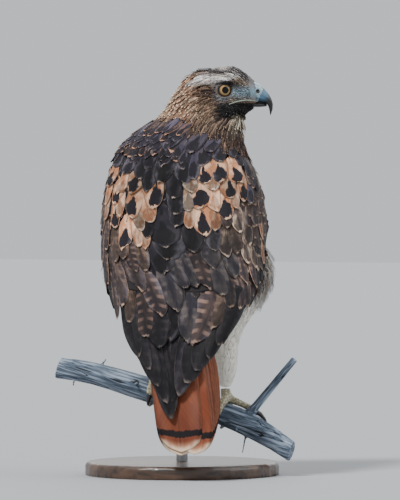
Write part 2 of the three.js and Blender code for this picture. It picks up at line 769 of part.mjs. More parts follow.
const toeCentre = ({ right, turn, radius }) => onPerch(right, turn, perchRadius(right) + 0.9 + radius);

function footSolid(side) {
  const start = footPlace[side > 0 ? "right" : "left"];
  const toes = TOES.map((toe) => {
    const path = toePath(side, toe);
    const radii = path.map(({ radius }, i) => radius * (1 + 0.07 * Math.cos(i * 3.1)));
    return tube(path.map(toeCentre), radii, 7);
  });
  const pad = onPerch(start, 0.05, perchRadius(start) + 5.6);
  return join([...toes, sphereAt(6.6, pad, [1.05, 1.1, 0.9], 8)]);
}

function clawSolid(side, toe) {
  const name = toe[0];
  const last = toePath(side, toe).pop();
  const spread = toeSpreads(side, name);
  const turnBy = Math.sign(last.turn) * degrees(spread ? SPREAD.clawTurn : CLAW_TURN[name]);
  const points = range(5).map((i) => {
    const t = i / 4;
    const right = last.right + (spread ? side * SPREAD.clawReach * t : 0);
    const height = mix(last.radius + 0.9, 1.6, t) + 2.4 * Math.sin(Math.PI * t);
    return onPerch(right, last.turn + turnBy * t, perchRadius(right) + height);
  });
  return tube(points, [3.1, 2.6, 1.6, 0.25], 6);
}

// Thigh: the feathered shank with the loose feathers of the flank, as level slices from just above the
// foot. Each row is the share of the height, how far out and forward its centre lies from the line
// between foot and hip, and its half width and half depth.
const THIGH = [
  [0, 0, 0, 7, 8],
  [0.045, 0, 0, 11.5, 13],
  [0.12, 0, -1, 14, 16],
  [0.24, -1, -4, 16, 19],
  [0.345, 0, -4, 20, 24],
  [0.43, 2, -1, 28, 33],
  [0.525, 5, 1, 36, 41],
  [0.63, 6, 3, 41, 46],
  [0.73, 5, 2, 39, 46],
  [0.84, 2, 2, 31, 40],
  [0.92, 0, 1, 21, 30],
  [1, 0, 0, 9, 14],
];
const HIP = { out: 50, forward: 22, height: 185 };
const [thighOut, thighForward, thighWidth, thighDepth] = columns(THIGH);

function thighSolid(side) {
  const place = footPlace[side > 0 ? "right" : "left"];
  const foot = onPerch(place, 0, perchRadius(place));
  const rings = range(13).map((r) => {
    const t = r / 12;
    const x = mix(foot.x, lean(HIP.height) + side * HIP.out, t) + side * thighOut(t);
    const y = mix(foot.y - 1, HIP.forward, t) + thighForward(t);
    return range(14).map((k) => {
      const turn = (2 * Math.PI * k) / 14;
      const across = thighWidth(t) * Math.sin(turn);
      const along = thighDepth(t) * Math.cos(turn);
      return new THREE.Vector3(x + across, y + along, mix(foot.z + 15, HIP.height, t));
    });
  });
  return solid(loft(rings));
}

function tarsusSolid(side) {
  const place = footPlace[side > 0 ? "right" : "left"];
  const foot = onPerch(place, 0, perchRadius(place));
  const low = foot.clone().add(new THREE.Vector3(0, 0.5, 7));
  const high = foot.clone().add(new THREE.Vector3(-side * 0.5, -3, 34));
  return tube([low, high], [5.4, 4.9], 8);
}

// Stand: a round base with a softened rim and one rod up to the perch
function baseSolid() {
  const bevel = 3;
  const profile = [
    [0, 0],
    [BASE_RADIUS, 0],
    [BASE_RADIUS, BASE_HEIGHT - bevel],
    [BASE_RADIUS - bevel, BASE_HEIGHT],
    [0, BASE_HEIGHT],
  ].map(([r, z]) => new THREE.Vector2(r, z));
  return solid(new THREE.LatheGeometry(profile, 32).rotateX(Math.PI / 2));
}

function rodSolid(perch) {
  const [low, high] = [BASE_HEIGHT + GAP - PERCH_TOP, -14];
  const rod = new THREE.CylinderGeometry(ROD_RADIUS, ROD_RADIUS, high - low, 20);
  rod.rotateX(Math.PI / 2).translate(0, 0, (low + high) / 2);
  return cut(solid(rod), grown(perch));
}

// Assembly: each part is cut clear of its neighbours by the gap
const bird = new THREE.Group();
bird.position.z = PERCH_TOP;
const add = (name, body, finish) => bird.add(meshOf(name, body, finish));

const head = headPieces();
const skull = toBird(head.envelope);
const body = bodySolid();
const block = new THREE.BoxGeometry(600, 600, 600);
const above = solid(block.clone().translate(0, 0, NECK_CUT + 300 - GAP / 2));
const below = solid(block.clone().translate(0, 0, NECK_CUT - 300 + GAP / 2));
const torso = cut(body, above);
const neck = cut(body, below, grown(skull));
const perch = perchSolid();
const bodyRoom = grown(body);
const tail = cut(tailSolid(), bodyRoom);
const tailRoom = grown(tailRoot());

add("head", toBird(head.head), PLUMAGE);
add("eye_left", toBird(head.eye_left), IRIS);
add("eye_right", toBird(head.eye_right), IRIS);
add("cere", toBird(head.cere), CERE);
add("bill_upper", toBird(head.bill_upper), HORN);
add("bill_lower", toBird(head.bill_lower), HORN);
add("neck", neck, PLUMAGE);
add("torso", torso, PALE_PLUMAGE);
add("tail", tail, RUFOUS);
add("perch", perch, BRANCH);

for (const [name, side] of [["right", 1], ["left", -1]]) {
  const wing = cut(wingSolid(side, name), bodyRoom, tailRoom);
  const thigh = cut(thighSolid(side), bodyRoom, wingRoom(side));
  const foot = cut(footSolid(side), grown(perch));
  const tarsus = cut(tarsusSolid(side), grown(thigh), grown(foot));
  add("wing_" + name, wing, WING_PLUMAGE);
  add("thigh_" + name, thigh, PALE_PLUMAGE);
  add("tarsus_" + name, tarsus, SCALED_SKIN);
  add("foot_" + name, foot, SCALED_SKIN);
  for (const toe of TOES)
    add("claw_" + name + "_" + toe[0], cut(clawSolid(side, toe), grown(foot), grown(perch)), CLAW);
}
add("stand_rod", rodSolid(perch), ROD_METAL);

const hawk = new THREE.Group();
hawk.add(bird, meshOf("stand_base", baseSolid(), STAND_WOOD));

export default hawk;
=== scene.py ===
# %% [markdown]
# # A perched red-tailed hawk
# A grown hawk sits on a short length of weathered branch, seen from behind, and looks over its right
# shoulder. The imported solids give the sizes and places. Over them come a skin, a coat of separate
# feathers, glossy eyes, a horn bill, scaled feet and the split grey wood of the branch.

# %% Start
from functools import partial

import bmesh
import bpy
import numpy as np
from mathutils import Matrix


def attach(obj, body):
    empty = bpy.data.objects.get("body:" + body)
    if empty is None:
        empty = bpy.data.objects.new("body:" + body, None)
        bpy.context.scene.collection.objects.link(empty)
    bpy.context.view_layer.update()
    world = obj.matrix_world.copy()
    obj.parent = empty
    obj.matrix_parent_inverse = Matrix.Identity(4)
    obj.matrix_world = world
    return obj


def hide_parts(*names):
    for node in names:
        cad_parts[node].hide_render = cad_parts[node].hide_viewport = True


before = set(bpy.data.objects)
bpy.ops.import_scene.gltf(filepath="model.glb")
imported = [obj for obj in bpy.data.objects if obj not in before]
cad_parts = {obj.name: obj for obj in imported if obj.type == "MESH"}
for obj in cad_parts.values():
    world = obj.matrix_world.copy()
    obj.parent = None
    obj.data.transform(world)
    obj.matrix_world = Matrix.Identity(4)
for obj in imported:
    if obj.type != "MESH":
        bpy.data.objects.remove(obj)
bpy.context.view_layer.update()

# %% [markdown]
# ## Units, chance and small curves
# The bird is measured in millimetres from the top of the perch, as a carver would, and turned into
# metres only when a mesh is made. One seeded generator gives every random draw, so that each run
# makes the same bird.

# %% Units and curves
MM = 0.001
PERCH_TOP = 89.0
chance = np.random.default_rng(20)


def metres(points):
    """Bird's millimetres from the perch top to metres from the floor: (point + perch top) / 1000."""
    return (np.asarray(points, float) + [0, 0, PERCH_TOP]) * MM


def millimetres(points):
    """The way back: point * 1000 - perch top."""
    return np.asarray(points, float) / MM - [0, 0, PERCH_TOP]


def ease(value, low=0.0, high=1.0):
    """Smooth step from 0 at low to 1 at high: 3 t^2 - 2 t^3."""
    t = np.clip((np.asarray(value, float) - low) / (high - low), 0, 1)
    return t * t * (3 - 2 * t)


def unit(vectors):
    """Each vector divided by its length."""
    size = np.linalg.norm(vectors, axis=-1, keepdims=True)
    return vectors / np.maximum(size, 1e-9)


def along(stations, table):
    """A smooth curve through the rows a, b, c, d of (station, values...), a share s from b to c:
    (2 b + s (c - a) + s^2 (2 a - 5 b + 4 c - d) + s^3 (3 b - a - 3 c + d)) / 2."""
    rows = np.asarray(table, float)
    at = np.interp(stations, rows[:, 0], np.arange(len(rows)))
    low = np.clip(np.floor(at).astype(int), 0, len(rows) - 2)
    share = (at - low)[..., None]
    before, here = rows[np.maximum(low - 1, 0), 1:], rows[low, 1:]
    after, later = rows[low + 1, 1:], rows[np.minimum(low + 2, len(rows) - 1), 1:]
    bend = 2 * here + share * (after - before)
    bend = bend + share**2 * (2 * before - 5 * here + 4 * after - later)
    return 0.5 * (bend + share**3 * (3 * here - before - 3 * after + later))


print("top of the perch above the floor, mm:", PERCH_TOP)

# %% [markdown]
# ## From arrays to meshes
# A surface here is worked out as whole arrays of points, and its faces as arrays of corner numbers.
# Filling a mesh from arrays is far quicker than adding its faces one by one. A finished piece is
# hung on the frame, and the solids that it stands for are hidden.

# %% Fill a mesh and dress a piece
def fill_mesh(mesh, points, groups):
    """Fills a mesh with points in metres and groups of faces, each an array of (faces, corners)."""
    corners = np.concatenate([g.ravel() for g in groups]).astype(np.int32)
    sizes = np.concatenate([np.full(len(g), g.shape[1]) for g in groups])
    mesh.vertices.add(len(points))
    mesh.vertices.foreach_set("co", np.asarray(points, np.float32).ravel())
    mesh.loops.add(len(corners))
    mesh.loops.foreach_set("vertex_index", corners)
    mesh.polygons.add(len(sizes))
    mesh.polygons.foreach_set("loop_start", (np.cumsum(sizes) - sizes).astype(np.int32))
    mesh.update(calc_edges=True)
    mesh.polygons.foreach_set("use_smooth", np.ones(len(sizes), bool))
    mesh.validate()


def make_piece(name, points, groups, material, stands_for=()):
    """A piece from points in the bird's millimetres, riding on the frame's only body."""
    mesh = bpy.data.meshes.new(name)
    fill_mesh(mesh, metres(points), groups)
    return dress(bpy.data.objects.new(name, mesh), material, stands_for)


def dress(piece, material, stands_for=()):
    """Gives a piece its material, hangs it on the frame and hides the solids that it replaces."""
    if piece.name not in bpy.context.scene.collection.objects:
        bpy.context.scene.collection.objects.link(piece)
    piece.data.materials.clear()
    piece.data.materials.append(material)
    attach(piece, "root")
    if stands_for:
        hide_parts(*stands_for)
    print(f"{piece.name}: {len(piece.data.polygons)} faces")
    return piece


# %% [markdown]
# ## Maps, colours and rings of points
# A pattern that has to follow a piece, such as the bars of a feather, needs its place and its
# colours stored with the points. Small hard parts are rings of points, as if turned on a lathe,
# joined into faces and closed at both ends.

# %% Maps, colours, sheets and tubes
def set_map(piece, name, places):
    """Writes one place on the map for each vertex."""
    layer = piece.data.uv_layers.new(name=name)
    corner = np.empty(len(piece.data.loops), np.int32)
    piece.data.loops.foreach_get("vertex_index", corner)
    layer.data.foreach_set("uv", np.asarray(places, np.float32)[corner].ravel())


def set_colours(piece, name, colours):
    """Writes one colour for each vertex, three numbers or four."""
    four = np.ones((len(colours), 4), np.float32)
    four[:, : colours.shape[1]] = colours
    layer = piece.data.attributes.new(name, "FLOAT_COLOR", "POINT")
    layer.data.foreach_set("color", four.ravel())


def sheet_faces(rows, columns, wrap=False):
    """Four-cornered faces of a grid of points, closed into a ring where wrap is set."""
    r, c = np.meshgrid(np.arange(rows - 1), np.arange(columns - (not wrap)), indexing="ij")
    right = (c + 1) % columns
    ring = [r * columns + c, (r + 1) * columns + c, (r + 1) * columns + right, r * columns + right]
    return np.stack(ring, -1).reshape(-1, 4)


def capped(rings):
    """Points and faces of a closed skin over rings (rows, columns, 3), each end drawn to its centre."""
    rows, columns = rings.shape[:2]
    points = np.concatenate([rings.reshape(-1, 3), rings[:1].mean(1), rings[-1:].mean(1)])
    k = np.arange(columns)
    after = (k + 1) % columns
    low = np.stack([np.full(columns, rows * columns), k, after], -1)
    last = (rows - 1) * columns
    high = np.stack([np.full(columns, rows * columns + 1), last + after, last + k], -1)
    return points, [sheet_faces(rows, columns, wrap=True), low, high]


def tube(path, radii, sides):
    """Rings of a round profile carried along a path: centre + r (side cos a + other sin a)."""
    path = np.asarray(path, float)
    way = unit(np.gradient(path, axis=0))
    side = unit(np.cross(way, [0.31, 0.53, 0.79]))
    other = np.cross(way, side)
    turn = 2 * np.pi * np.arange(sides) / sides
    ring = side[:, None] * np.cos(turn)[None, :, None] + other[:, None] * np.sin(turn)[None, :, None]
    return path[:, None] + ring * np.asarray(radii, float)[:, None, None]


print("faces of a closed ring of 4 by 6 points:", len(sheet_faces(4, 6, wrap=True)))

# %% [markdown]
# ## Colours and nodes
# Colours are written as sRGB hex values, as a paint chart gives them, and one function turns them
# linear. Another adds a node with its settings and links. The recipes shorten the nodes used most:
# each names the node, the sockets that take the values in turn, and the output passed on.

# %% Colours and nodes
def linear(text):
    """sRGB hex to linear colour: c / 12.92 below 0.04045, else ((c + 0.055) / 1.055) ^ 2.4."""
    c = np.array([int(text[i : i + 2], 16) for i in (0, 2, 4)]) / 255
    return np.where(c < 0.04045, c / 12.92, ((c + 0.055) / 1.055) ** 2.4)


def paint(text):
    """The same colour with an alpha of one, for a node's socket."""
    return (*linear(text), 1.0)


def set_inputs(tree, node, inputs):
    """Sets or links a node's sockets by name or number."""
    for key, value in inputs.items():
        if isinstance(value, bpy.types.NodeSocket):
            tree.links.new(value, node.inputs[key])
        else:
            node.inputs[key].default_value = value
    return node


def add(tree, kind, inputs=None, **settings):
    """Adds a node with its own options as settings, and sets or links its sockets."""
    made = tree.nodes.new(kind)
    for key, value in settings.items():
        setattr(made, key, value)
    return set_inputs(tree, made, inputs or {})


# Recipe: node, sockets that take the values, output, settings.
RECIPES = {
    "mix": ("ShaderNodeMix", (0, 6, 7), 2, {"data_type": "RGBA"}),
    "tint": ("ShaderNodeMix", (0, 6, 7), 2, {"data_type": "RGBA", "blend_type": "MULTIPLY"}),
    "ease": ("ShaderNodeMapRange", ("Value", "From Min", "From Max"), 0,
             {"interpolation_type": "SMOOTHSTEP"}),
    "noise": ("ShaderNodeTexNoise", ("Vector", "Scale", "Detail"), 0, {}),
    "bump": ("ShaderNodeBump", ("Height", "Distance", "Strength"), 0, {}),
    "join": ("ShaderNodeCombineXYZ", (0, 1, 2), 0, {}),
    "away": ("ShaderNodeVectorMath", (0, 1), 0, {"operation": "SUBTRACT"}),
    "dot": ("ShaderNodeVectorMath", (0, 1), "Value", {"operation": "DOT_PRODUCT"}),
    "gap": ("ShaderNodeVectorMath", (0, 1), "Value", {"operation": "DISTANCE"}),
}


def wire(tree, recipe, *values):
    """Output of a node from the recipes, or of an arithmetic node where recipe is its operation."""
    arithmetic = ("ShaderNodeMath", (0, 1, 2), 0, {"operation": recipe})
    kind, sockets, output, settings = RECIPES.get(recipe, arithmetic)
    return add(tree, kind, dict(zip(sockets, values)), **settings).outputs[output]


def new_material(name):
    """An empty material with its shader and output joined."""
    material = bpy.data.materials.new(name)
    material.use_nodes = True
    tree = material.node_tree
    tree.nodes.clear()
    shader = add(tree, "ShaderNodeBsdfPrincipled")
    add(tree, "ShaderNodeOutputMaterial", {"Surface": shader.outputs[0]})
    return material, tree, shader


print("brick red of the tail, linear:", np.round(linear("6b331d"), 4).tolist())

# %% [markdown]
# ## Camera
# The hawk was seen from a little above its perch and 15 degrees round to its right side, from far
# off, so the camera has a long lens.

# %% Camera
VIEW_TURN, VIEW_RISE = np.radians(15), np.radians(2)
VIEW_CENTRE = np.array([18.26, 4.9, 147.15])
VIEW_DISTANCE = 9000.0
VIEW_FIELD = 525.0
IMAGE_SIZE = (400, 500)
PIXEL = VIEW_FIELD / IMAGE_SIZE[1]
SENSOR = 36.0
view_back = np.array(
    [np.sin(VIEW_TURN) * np.cos(VIEW_RISE), -np.cos(VIEW_TURN) * np.cos(VIEW_RISE), np.sin(VIEW_RISE)]
)
view_right = np.array([np.cos(VIEW_TURN), np.sin(VIEW_TURN), 0.0])
view_up = np.cross(view_back, view_right)

camera = bpy.data.objects.new("camera", bpy.data.cameras.new("camera"))
camera.data.sensor_fit = "VERTICAL"
camera.data.sensor_height = SENSOR
camera.data.lens = SENSOR * VIEW_DISTANCE / VIEW_FIELD
camera.data.clip_end = 50
camera.location = metres(VIEW_CENTRE + view_back * VIEW_DISTANCE)
camera.rotation_euler = (np.pi / 2 - VIEW_RISE, 0, VIEW_TURN)
bpy.context.scene.collection.objects.link(camera)
bpy.context.scene.camera = camera
print("millimetres to a pixel:", PIXEL, "lens, mm:", round(camera.data.lens, 1))

# %% [markdown]
# ## Floor and light
# A sheet of pale paper lies under the stand, as in a studio. Large soft lamps stand in for an
# overcast sky, from behind the camera, one side and the front, so that every side reads well.

# %% Floor and light
FLOOR_REACH = 6000.0
floor_mesh = bpy.data.meshes.new("floor")
floor_corners = np.array([[-1, -1, 0], [1, -1, 0], [1, 1, 0], [-1, 1, 0]]) * FLOOR_REACH * MM
fill_mesh(floor_mesh, floor_corners, [np.array([[0, 1, 2, 3]])])
floor = bpy.data.objects.new("floor", floor_mesh)
bpy.context.scene.collection.objects.link(floor)
# Pale paper: an even, matt grey that takes soft shadows.
paper, paper_tree, paper_shader = new_material("pale_paper")
set_inputs(paper_tree, paper_shader, {"Base Color": paint("999c9f"), "Roughness": 0.9})
floor.data.materials.append(paper)


def soft_sun(name, turn, rise, spread, power, colour):
    """A distant lamp seen as a broad disc, by its compass turn and height in degrees."""
    lamp = bpy.data.lights.new(name, "SUN")
    lamp.angle = np.radians(spread)
    lamp.energy = power
    lamp.color = colour
    body = bpy.data.objects.new(name, lamp)
    body.rotation_euler = (np.radians(90 - rise), 0, np.radians(turn))
    bpy.context.scene.collection.objects.link(body)


soft_sun("key_light", -28, 54, 12, 3.9, (1.0, 0.98, 0.95))
soft_sun("side_light", 95, 35, 50, 1.2, (0.96, 0.98, 1.0))
soft_sun("front_light", 190, 40, 60, 1.2, (1.0, 0.98, 0.96))
world = bpy.data.worlds.new("soft_sky")
world.use_nodes = True
world.node_tree.nodes["Background"].inputs["Color"].default_value = (0.93, 0.96, 1.0, 1.0)
world.node_tree.nodes["Background"].inputs["Strength"].default_value = 0.72
bpy.context.scene.world = world

# %% [markdown]
# ## The skin
# Under its feathers a bird is one smooth body. The flesh solids, with the thick upper part of each
# wing, are melted into a single closed mesh, so that no seam shows. A melt on a fine grid was
# chosen over drawing the body again because it keeps the sizes of the solids.

# %% Flesh solids in one
FLESH = ["torso", "neck", "head", "thigh_left", "thigh_right"]
WINGS = ["wing_left", "wing_right"]
WING_ROOT_FLOOR = 105.0


def flesh_mesh():
    """The flesh solids with the upper, thick part of each wing, as one loose mesh."""
    whole = bmesh.new()
    for name in FLESH:
        whole.from_mesh(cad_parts[name].data)
    for name in WINGS:
        wing = bmesh.new()
        wing.from_mesh(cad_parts[name].data)
        bmesh.ops.remove_doubles(wing, verts=wing.verts, dist=1e-6)
        level = metres([0, 0, WING_ROOT_FLOOR])
        parts = list(wing.verts) + list(wing.edges) + list(wing.faces)
        up = (0, 0, 1)
        bmesh.ops.bisect_plane(wing, geom=parts, plane_co=level, plane_no=up, clear_inner=True)
        rim = [edge for edge in wing.edges if edge.is_boundary]
        bmesh.ops.holes_fill(wing, edges=rim)
        cut = bpy.data.meshes.new("wing_cut")
        wing.to_mesh(cut)
        whole.from_mesh(cut)
        bpy.data.meshes.remove(cut)
        wing.free()
    bmesh.ops.remove_doubles(whole, verts=whole.verts, dist=1e-6)
    mesh = bpy.data.meshes.new("flesh")
    whole.to_mesh(mesh)
    whole.free()
    return mesh


def melted(mesh, grid):
    """A copy of a mesh melted on a grid of that many millimetres."""
    source = bpy.data.objects.new("melt", mesh)
    bpy.context.scene.collection.objects.link(source)
    remesh = source.modifiers.new("melt", "REMESH")
    remesh.mode = "VOXEL"
    remesh.voxel_size = grid * MM
    bpy.context.view_layer.update()
    result = bpy.data.meshes.new_from_object(source.evaluated_get(bpy.context.evaluated_depsgraph_get()))
    bpy.data.objects.remove(source)
    return result


# %% [markdown]
# ## Smoothing
# A melt leaves small steps. Sanding a carving rounds them but also thins it, so each pass here
# first moves the points towards their neighbours and then back out by nearly as much.

# %% Smoothing
def numbers(items, key, width, kind=np.float64):
    """A property of every vertex, edge or face as an array."""
    found = np.empty(len(items) * width, kind)
    items.foreach_get(key, found)
    return found.reshape(-1, width) if width > 1 else found


def relaxed(points, edges, passes):
    """Points moved to and fro over their neighbours' mean, +0.5 then -0.52, which smooths but keeps size."""
    count = np.bincount(edges.ravel(), minlength=len(points))[:, None]
    ends = np.concatenate([edges, edges[:, ::-1]])
    for step in range(2 * passes):
        total = np.stack(
            [np.bincount(ends[:, 0], points[ends[:, 1], axis], len(points)) for axis in range(3)], -1
        )
        points = points + (0.5, -0.52)[step % 2] * (total / count - points)
    return points


def normals_of(mesh):
    """The outward direction at each vertex."""
    mesh.update()
    return numbers(mesh.vertex_normals, "vector", 3)


def shared_out(values, edges, passes):
    """Rows of values, each averaged with its neighbours' mean that many times."""
    ends = np.concatenate([edges, edges[:, ::-1]])
    count = np.bincount(edges.ravel(), minlength=len(values))[:, None]
    for _ in range(passes):
        total = [np.bincount(ends[:, 0], values[ends[:, 1], axis], len(values)) for axis in range(3)]
        values = 0.5 * (values + np.stack(total, -1) / count)
    return values


# %% [markdown]
# ## The head's own frame
# The head is turned to the right of the body. Its places are given forward along the bill, left and
# up from between the eyes, so that both sides match. A hawk's stern look comes from a bony brow,
# which is raised here as a low ridge over each eye.

# %% Head and brow
HEAD_CENTRE = np.array([35.0, 45.0, 315.0])
HEAD_TURN = np.radians(15)
head_forward = np.array([np.cos(HEAD_TURN), np.sin(HEAD_TURN), 0.0])
head_left = np.array([-np.sin(HEAD_TURN), np.cos(HEAD_TURN), 0.0])
# Forward, left and up along the ridge of the left brow, and the ridge's height and half width.
BROW = [(-15, 21.8, 11.2), (-8, 25, 10.4), (1, 26, 9.2), (10, 23.2, 8), (18, 17.6, 5.6)]
BROW_HEIGHT, BROW_REACH = 1.5, 2.3


def in_head(points):
    """Bird's place to the head's own frame: forward along the bill, left and up from the eyes."""
    away = np.asarray(points, float) - HEAD_CENTRE
    return np.stack([away @ head_forward, away @ head_left, away[..., 2]], -1)


def from_head(points):
    """The way back from the head's frame."""
    points = np.asarray(points, float)
    flat = points[..., :1] * head_forward + points[..., 1:2] * head_left
    return HEAD_CENTRE + flat + points[..., 2:] * [0, 0, 1]


def brow_swell(places):
    """Extra height of the bony brow: height times exp(-(distance / reach)^2), faded out at its ends."""
    steps = np.linspace(0, 1, 40)
    line = np.stack([np.interp(steps, np.linspace(0, 1, len(BROW)), c) for c in np.array(BROW).T], 1)
    folded = np.stack([places[:, 0], np.abs(places[:, 1]), places[:, 2]], 1)
    swell = np.zeros(len(places))
    near = np.flatnonzero(np.linalg.norm(folded - line.mean(0), axis=1) < 30)
    gaps = np.linalg.norm(folded[near][:, None] - line[None], axis=2)
    closest = gaps.argmin(1)
    fade = np.sin(np.pi * np.clip(steps[closest], 0.04, 0.96)) ** 0.5
    swell[near] = BROW_HEIGHT * fade * np.exp(-((gaps.min(1) / BROW_REACH) ** 2))
    return swell


print("way of the bill:", np.round(head_forward, 3).tolist())

# %% [markdown]
# ## The skin under the coat
# Feathers add their own depth to a bird, so the skin is shrunk by the depth of the coat that will
# lie on it: 2.4 mm on the body, more at the base of the neck and half a millimetre on the face.

# %% Skin
SKIN_GRID = 1.9
COAT_DEPTH = 2.4
FACE_DEPTH = 0.5
NECK_BASE = np.array([-20.0, 4.0, 288.0])
skin_mesh = melted(flesh_mesh(), SKIN_GRID)
skin_edges = numbers(skin_mesh.edges, "vertices", 2, np.int32)
skin_points = relaxed(millimetres(numbers(skin_mesh.vertices, "co", 3)), skin_edges, 6)
skin_mesh.vertices.foreach_set("co", metres(skin_points).astype(np.float32).ravel())
skin_points = skin_points + normals_of(skin_mesh) * brow_swell(in_head(skin_points))[:, None]
face_share = ease(in_head(skin_points)[:, 0], -24, 8)
depth = COAT_DEPTH + (FACE_DEPTH - COAT_DEPTH) * face_share
depth = np.where(skin_points[:, 2] > 262, depth, COAT_DEPTH)
neck_base = np.linalg.norm(skin_points - NECK_BASE, axis=1)
depth = depth + 3.5 * (1 - ease(neck_base, 10, 44))
skin_way = shared_out(normals_of(skin_mesh), skin_edges, 12)
skin_points = relaxed(skin_points - skin_way * depth[:, None], skin_edges, 3)
skin_mesh.vertices.foreach_set("co", metres(skin_points).astype(np.float32).ravel())
skin_normals = normals_of(skin_mesh)
print("skin:", len(skin_mesh.polygons), "faces")

# %% [markdown]
# ## Finding the skin again
# Every feather has to lie on the skin. A coarse block of cells remembers the mean place and
# direction of the skin near each cell, and blending between cells gives the height of any point
# above the skin. It is far quicker than asking the mesh for each of a million points.

# %% Height above a surface
class Ground:
    """Height above a surface: n . (x - p), with p and n blended between the cells around x."""

    def __init__(self, points, directions, cell=3.0, reach=8):
        self.cell = cell
        self.low = points.min(0) - cell * (reach + 1)
        self.shape = np.ceil((points.max(0) - self.low) / cell).astype(int) + reach + 2
        at = np.floor((points - self.low) / cell).astype(int)
        flat = np.ravel_multi_index(at.T, self.shape)
        values = np.concatenate([np.ones((len(points), 1)), points, directions], 1)
        cells = np.stack(
            [np.bincount(flat, values[:, k], np.prod(self.shape)) for k in range(7)], -1
        ).reshape(*self.shape, 7)
        cells = self.spread(cells)
        cells /= np.maximum(cells[..., :1], 1e-12)
        for _ in range(reach):
            wider = self.spread(cells)
            wider /= np.maximum(wider[..., :1], 1e-12)
            cells = np.where(cells[..., :1] > 0.5, cells, wider)
        self.cells = cells.reshape(-1, 7)

    @staticmethod
    def spread(cells):
        """Each cell plus half of its neighbours, one axis after another."""
        for axis in range(3):
            cells = cells + 0.5 * (np.roll(cells, 1, axis) + np.roll(cells, -1, axis))
        return cells

    def height(self, points):
        """Signed height of each point in millimetres, and the surface's direction there."""
        at = (points - self.low) / self.cell - 0.5
        at = np.clip(at, 0, np.array(self.shape) - 1.001)
        base = np.floor(at).astype(int)
        share = at - base
        total = np.zeros((len(points), 7))
        for corner in np.ndindex(2, 2, 2):
            part = np.prod(np.where(corner, share, 1 - share), 1)
            index = np.minimum(base + corner, np.array(self.shape) - 1)
            total += part[:, None] * self.cells[np.ravel_multi_index(index.T, self.shape)]
        total /= np.maximum(total[:, :1], 1e-9)
        way = unit(total[:, 4:])
        return np.sum((points - total[:, 1:4]) * way, 1), way

    def lay(self, points, lift, passes=2):
        """Moves points along the surface's direction until they are lift above it."""
        for _ in range(passes):
            high, way = self.height(points)
            points = points + way * (lift - high)[:, None]
        return points


ground = Ground(skin_points, skin_normals)
on_face = skin_points[:, 2] > 272
face_ground = Ground(skin_points[on_face], skin_normals[on_face], cell=1.8, reach=7)
checked, _ = ground.height(skin_points[::50])
print("mean height of the skin above itself, mm:", round(float(np.abs(checked).mean()), 3))

# %% [markdown]
# ## The back as a map
# Mantle and folded wings wrap the back like a cloak. Its cross sections are rounded squares that
# are known at each height, so each place of the cloak is a pair: millimetres round from the midline
# and height. Flat feathers drawn on that map then bend round the bird by themselves.

# %% Cloak sections
LEAN, LEAN_PIVOT, SQUARE = -0.0875, 160.0, 0.92
# Height, back, depth to the widest place, half width, turn of the front edge, shift, front, twist.
CLOAK = np.array([
    (-60, -133, 17, 44, 66, 4, -133, 0), (-30, -126, 17, 44, 66, 4, -126, 0),
    (-14, -122, 17, 44, 68, 3, -122, 0), (0, -118, 17, 44, 70, 3, -118, 0),
    (20, -112.5, 18, 45, 74, 3.5, -40, 0), (40, -106.5, 20, 48, 78, 2.5, -30, 0),
    (60, -100.5, 31, 61, 82, 2, 2, 0), (80, -94.5, 43, 71, 86, 4.5, 33, 0),
    (105, -86, 56, 81.5, 92, 5, 66, -1), (135, -74, 68, 87, 98, 1.5, 86, -4),
    (165, -62, 74, 89, 105, 0, 97, -6), (195, -49.5, 72, 87, 112, -0.5, 100, -8),
    (215, -41, 66, 83, 117, -1, 99, -8), (235, -32.5, 59, 77, 120, -1, 94, -8),
    (255, -23.5, 48, 66, 118, 1, 83, -8), (265, -17.5, 41, 60, 112, 6.5, 78, -8),
    (276, -11.5, 39, 53, 108, 12.5, 73, -6), (290, -3.5, 34.5, 44.5, 104, 21.5, 71, -3),
    (303, 4.5, 30.5, 35.5, 100, 27, 70, 0),
])


def powered(value, power):
    """A power that keeps the sign."""
    return np.sign(value) * np.abs(value) ** power


def section_point(angle, height):
    """Point of the rounded section: (width sin^0.92, middle - reach cos^0.92) at a height."""
    values = along(height, CLOAK)[..., :7].T.reshape(7, *np.shape(height))
    back, deep, width, _, shift, front, twist = values
    middle = back + deep
    turn = angle + np.radians(twist)
    reach = np.where(np.cos(turn) > 0, deep, np.maximum(deep, front - middle))
    x = LEAN * (height - LEAN_PIVOT) + shift + width * powered(np.sin(turn), SQUARE)
    return np.stack([x, middle - reach * powered(np.cos(turn), SQUARE), height], -1)


print("widest place of the cloak, mm:", 2 * CLOAK[:, 3].max())

# %% [markdown]
# ## Distance round the cloak
# A tailor measures round a shoulder with a tape. The same is done here once, at 121 heights: the
# tape's readings are kept in a table, and the table is read back for any distance round.

# %% Cloak map
CLOAK_STEP = 3.0
CLOAK_HEIGHTS = np.arange(-60, 304, CLOAK_STEP)
CLOAK_ANGLES = np.radians(np.arange(-170, 170.1, 2.5))
CLOAK_ROUND = np.arange(-300, 300.1, CLOAK_STEP)
PROBE = 4.0
grid_height, grid_angle = np.meshgrid(CLOAK_HEIGHTS, CLOAK_ANGLES, indexing="ij")
grid_points = section_point(grid_angle.ravel(), grid_height.ravel()).reshape(*grid_height.shape, 3)
grid_steps = np.linalg.norm(np.diff(grid_points, axis=1), axis=2)
grid_round = np.concatenate([np.zeros((len(CLOAK_HEIGHTS), 1)), np.cumsum(grid_steps, 1)], 1)
midline = [np.interp(0, CLOAK_ANGLES, row) for row in grid_round]
grid_round = grid_round - np.array(midline)[:, None]
angle_table = np.array([np.interp(CLOAK_ROUND, row, CLOAK_ANGLES) for row in grid_round])


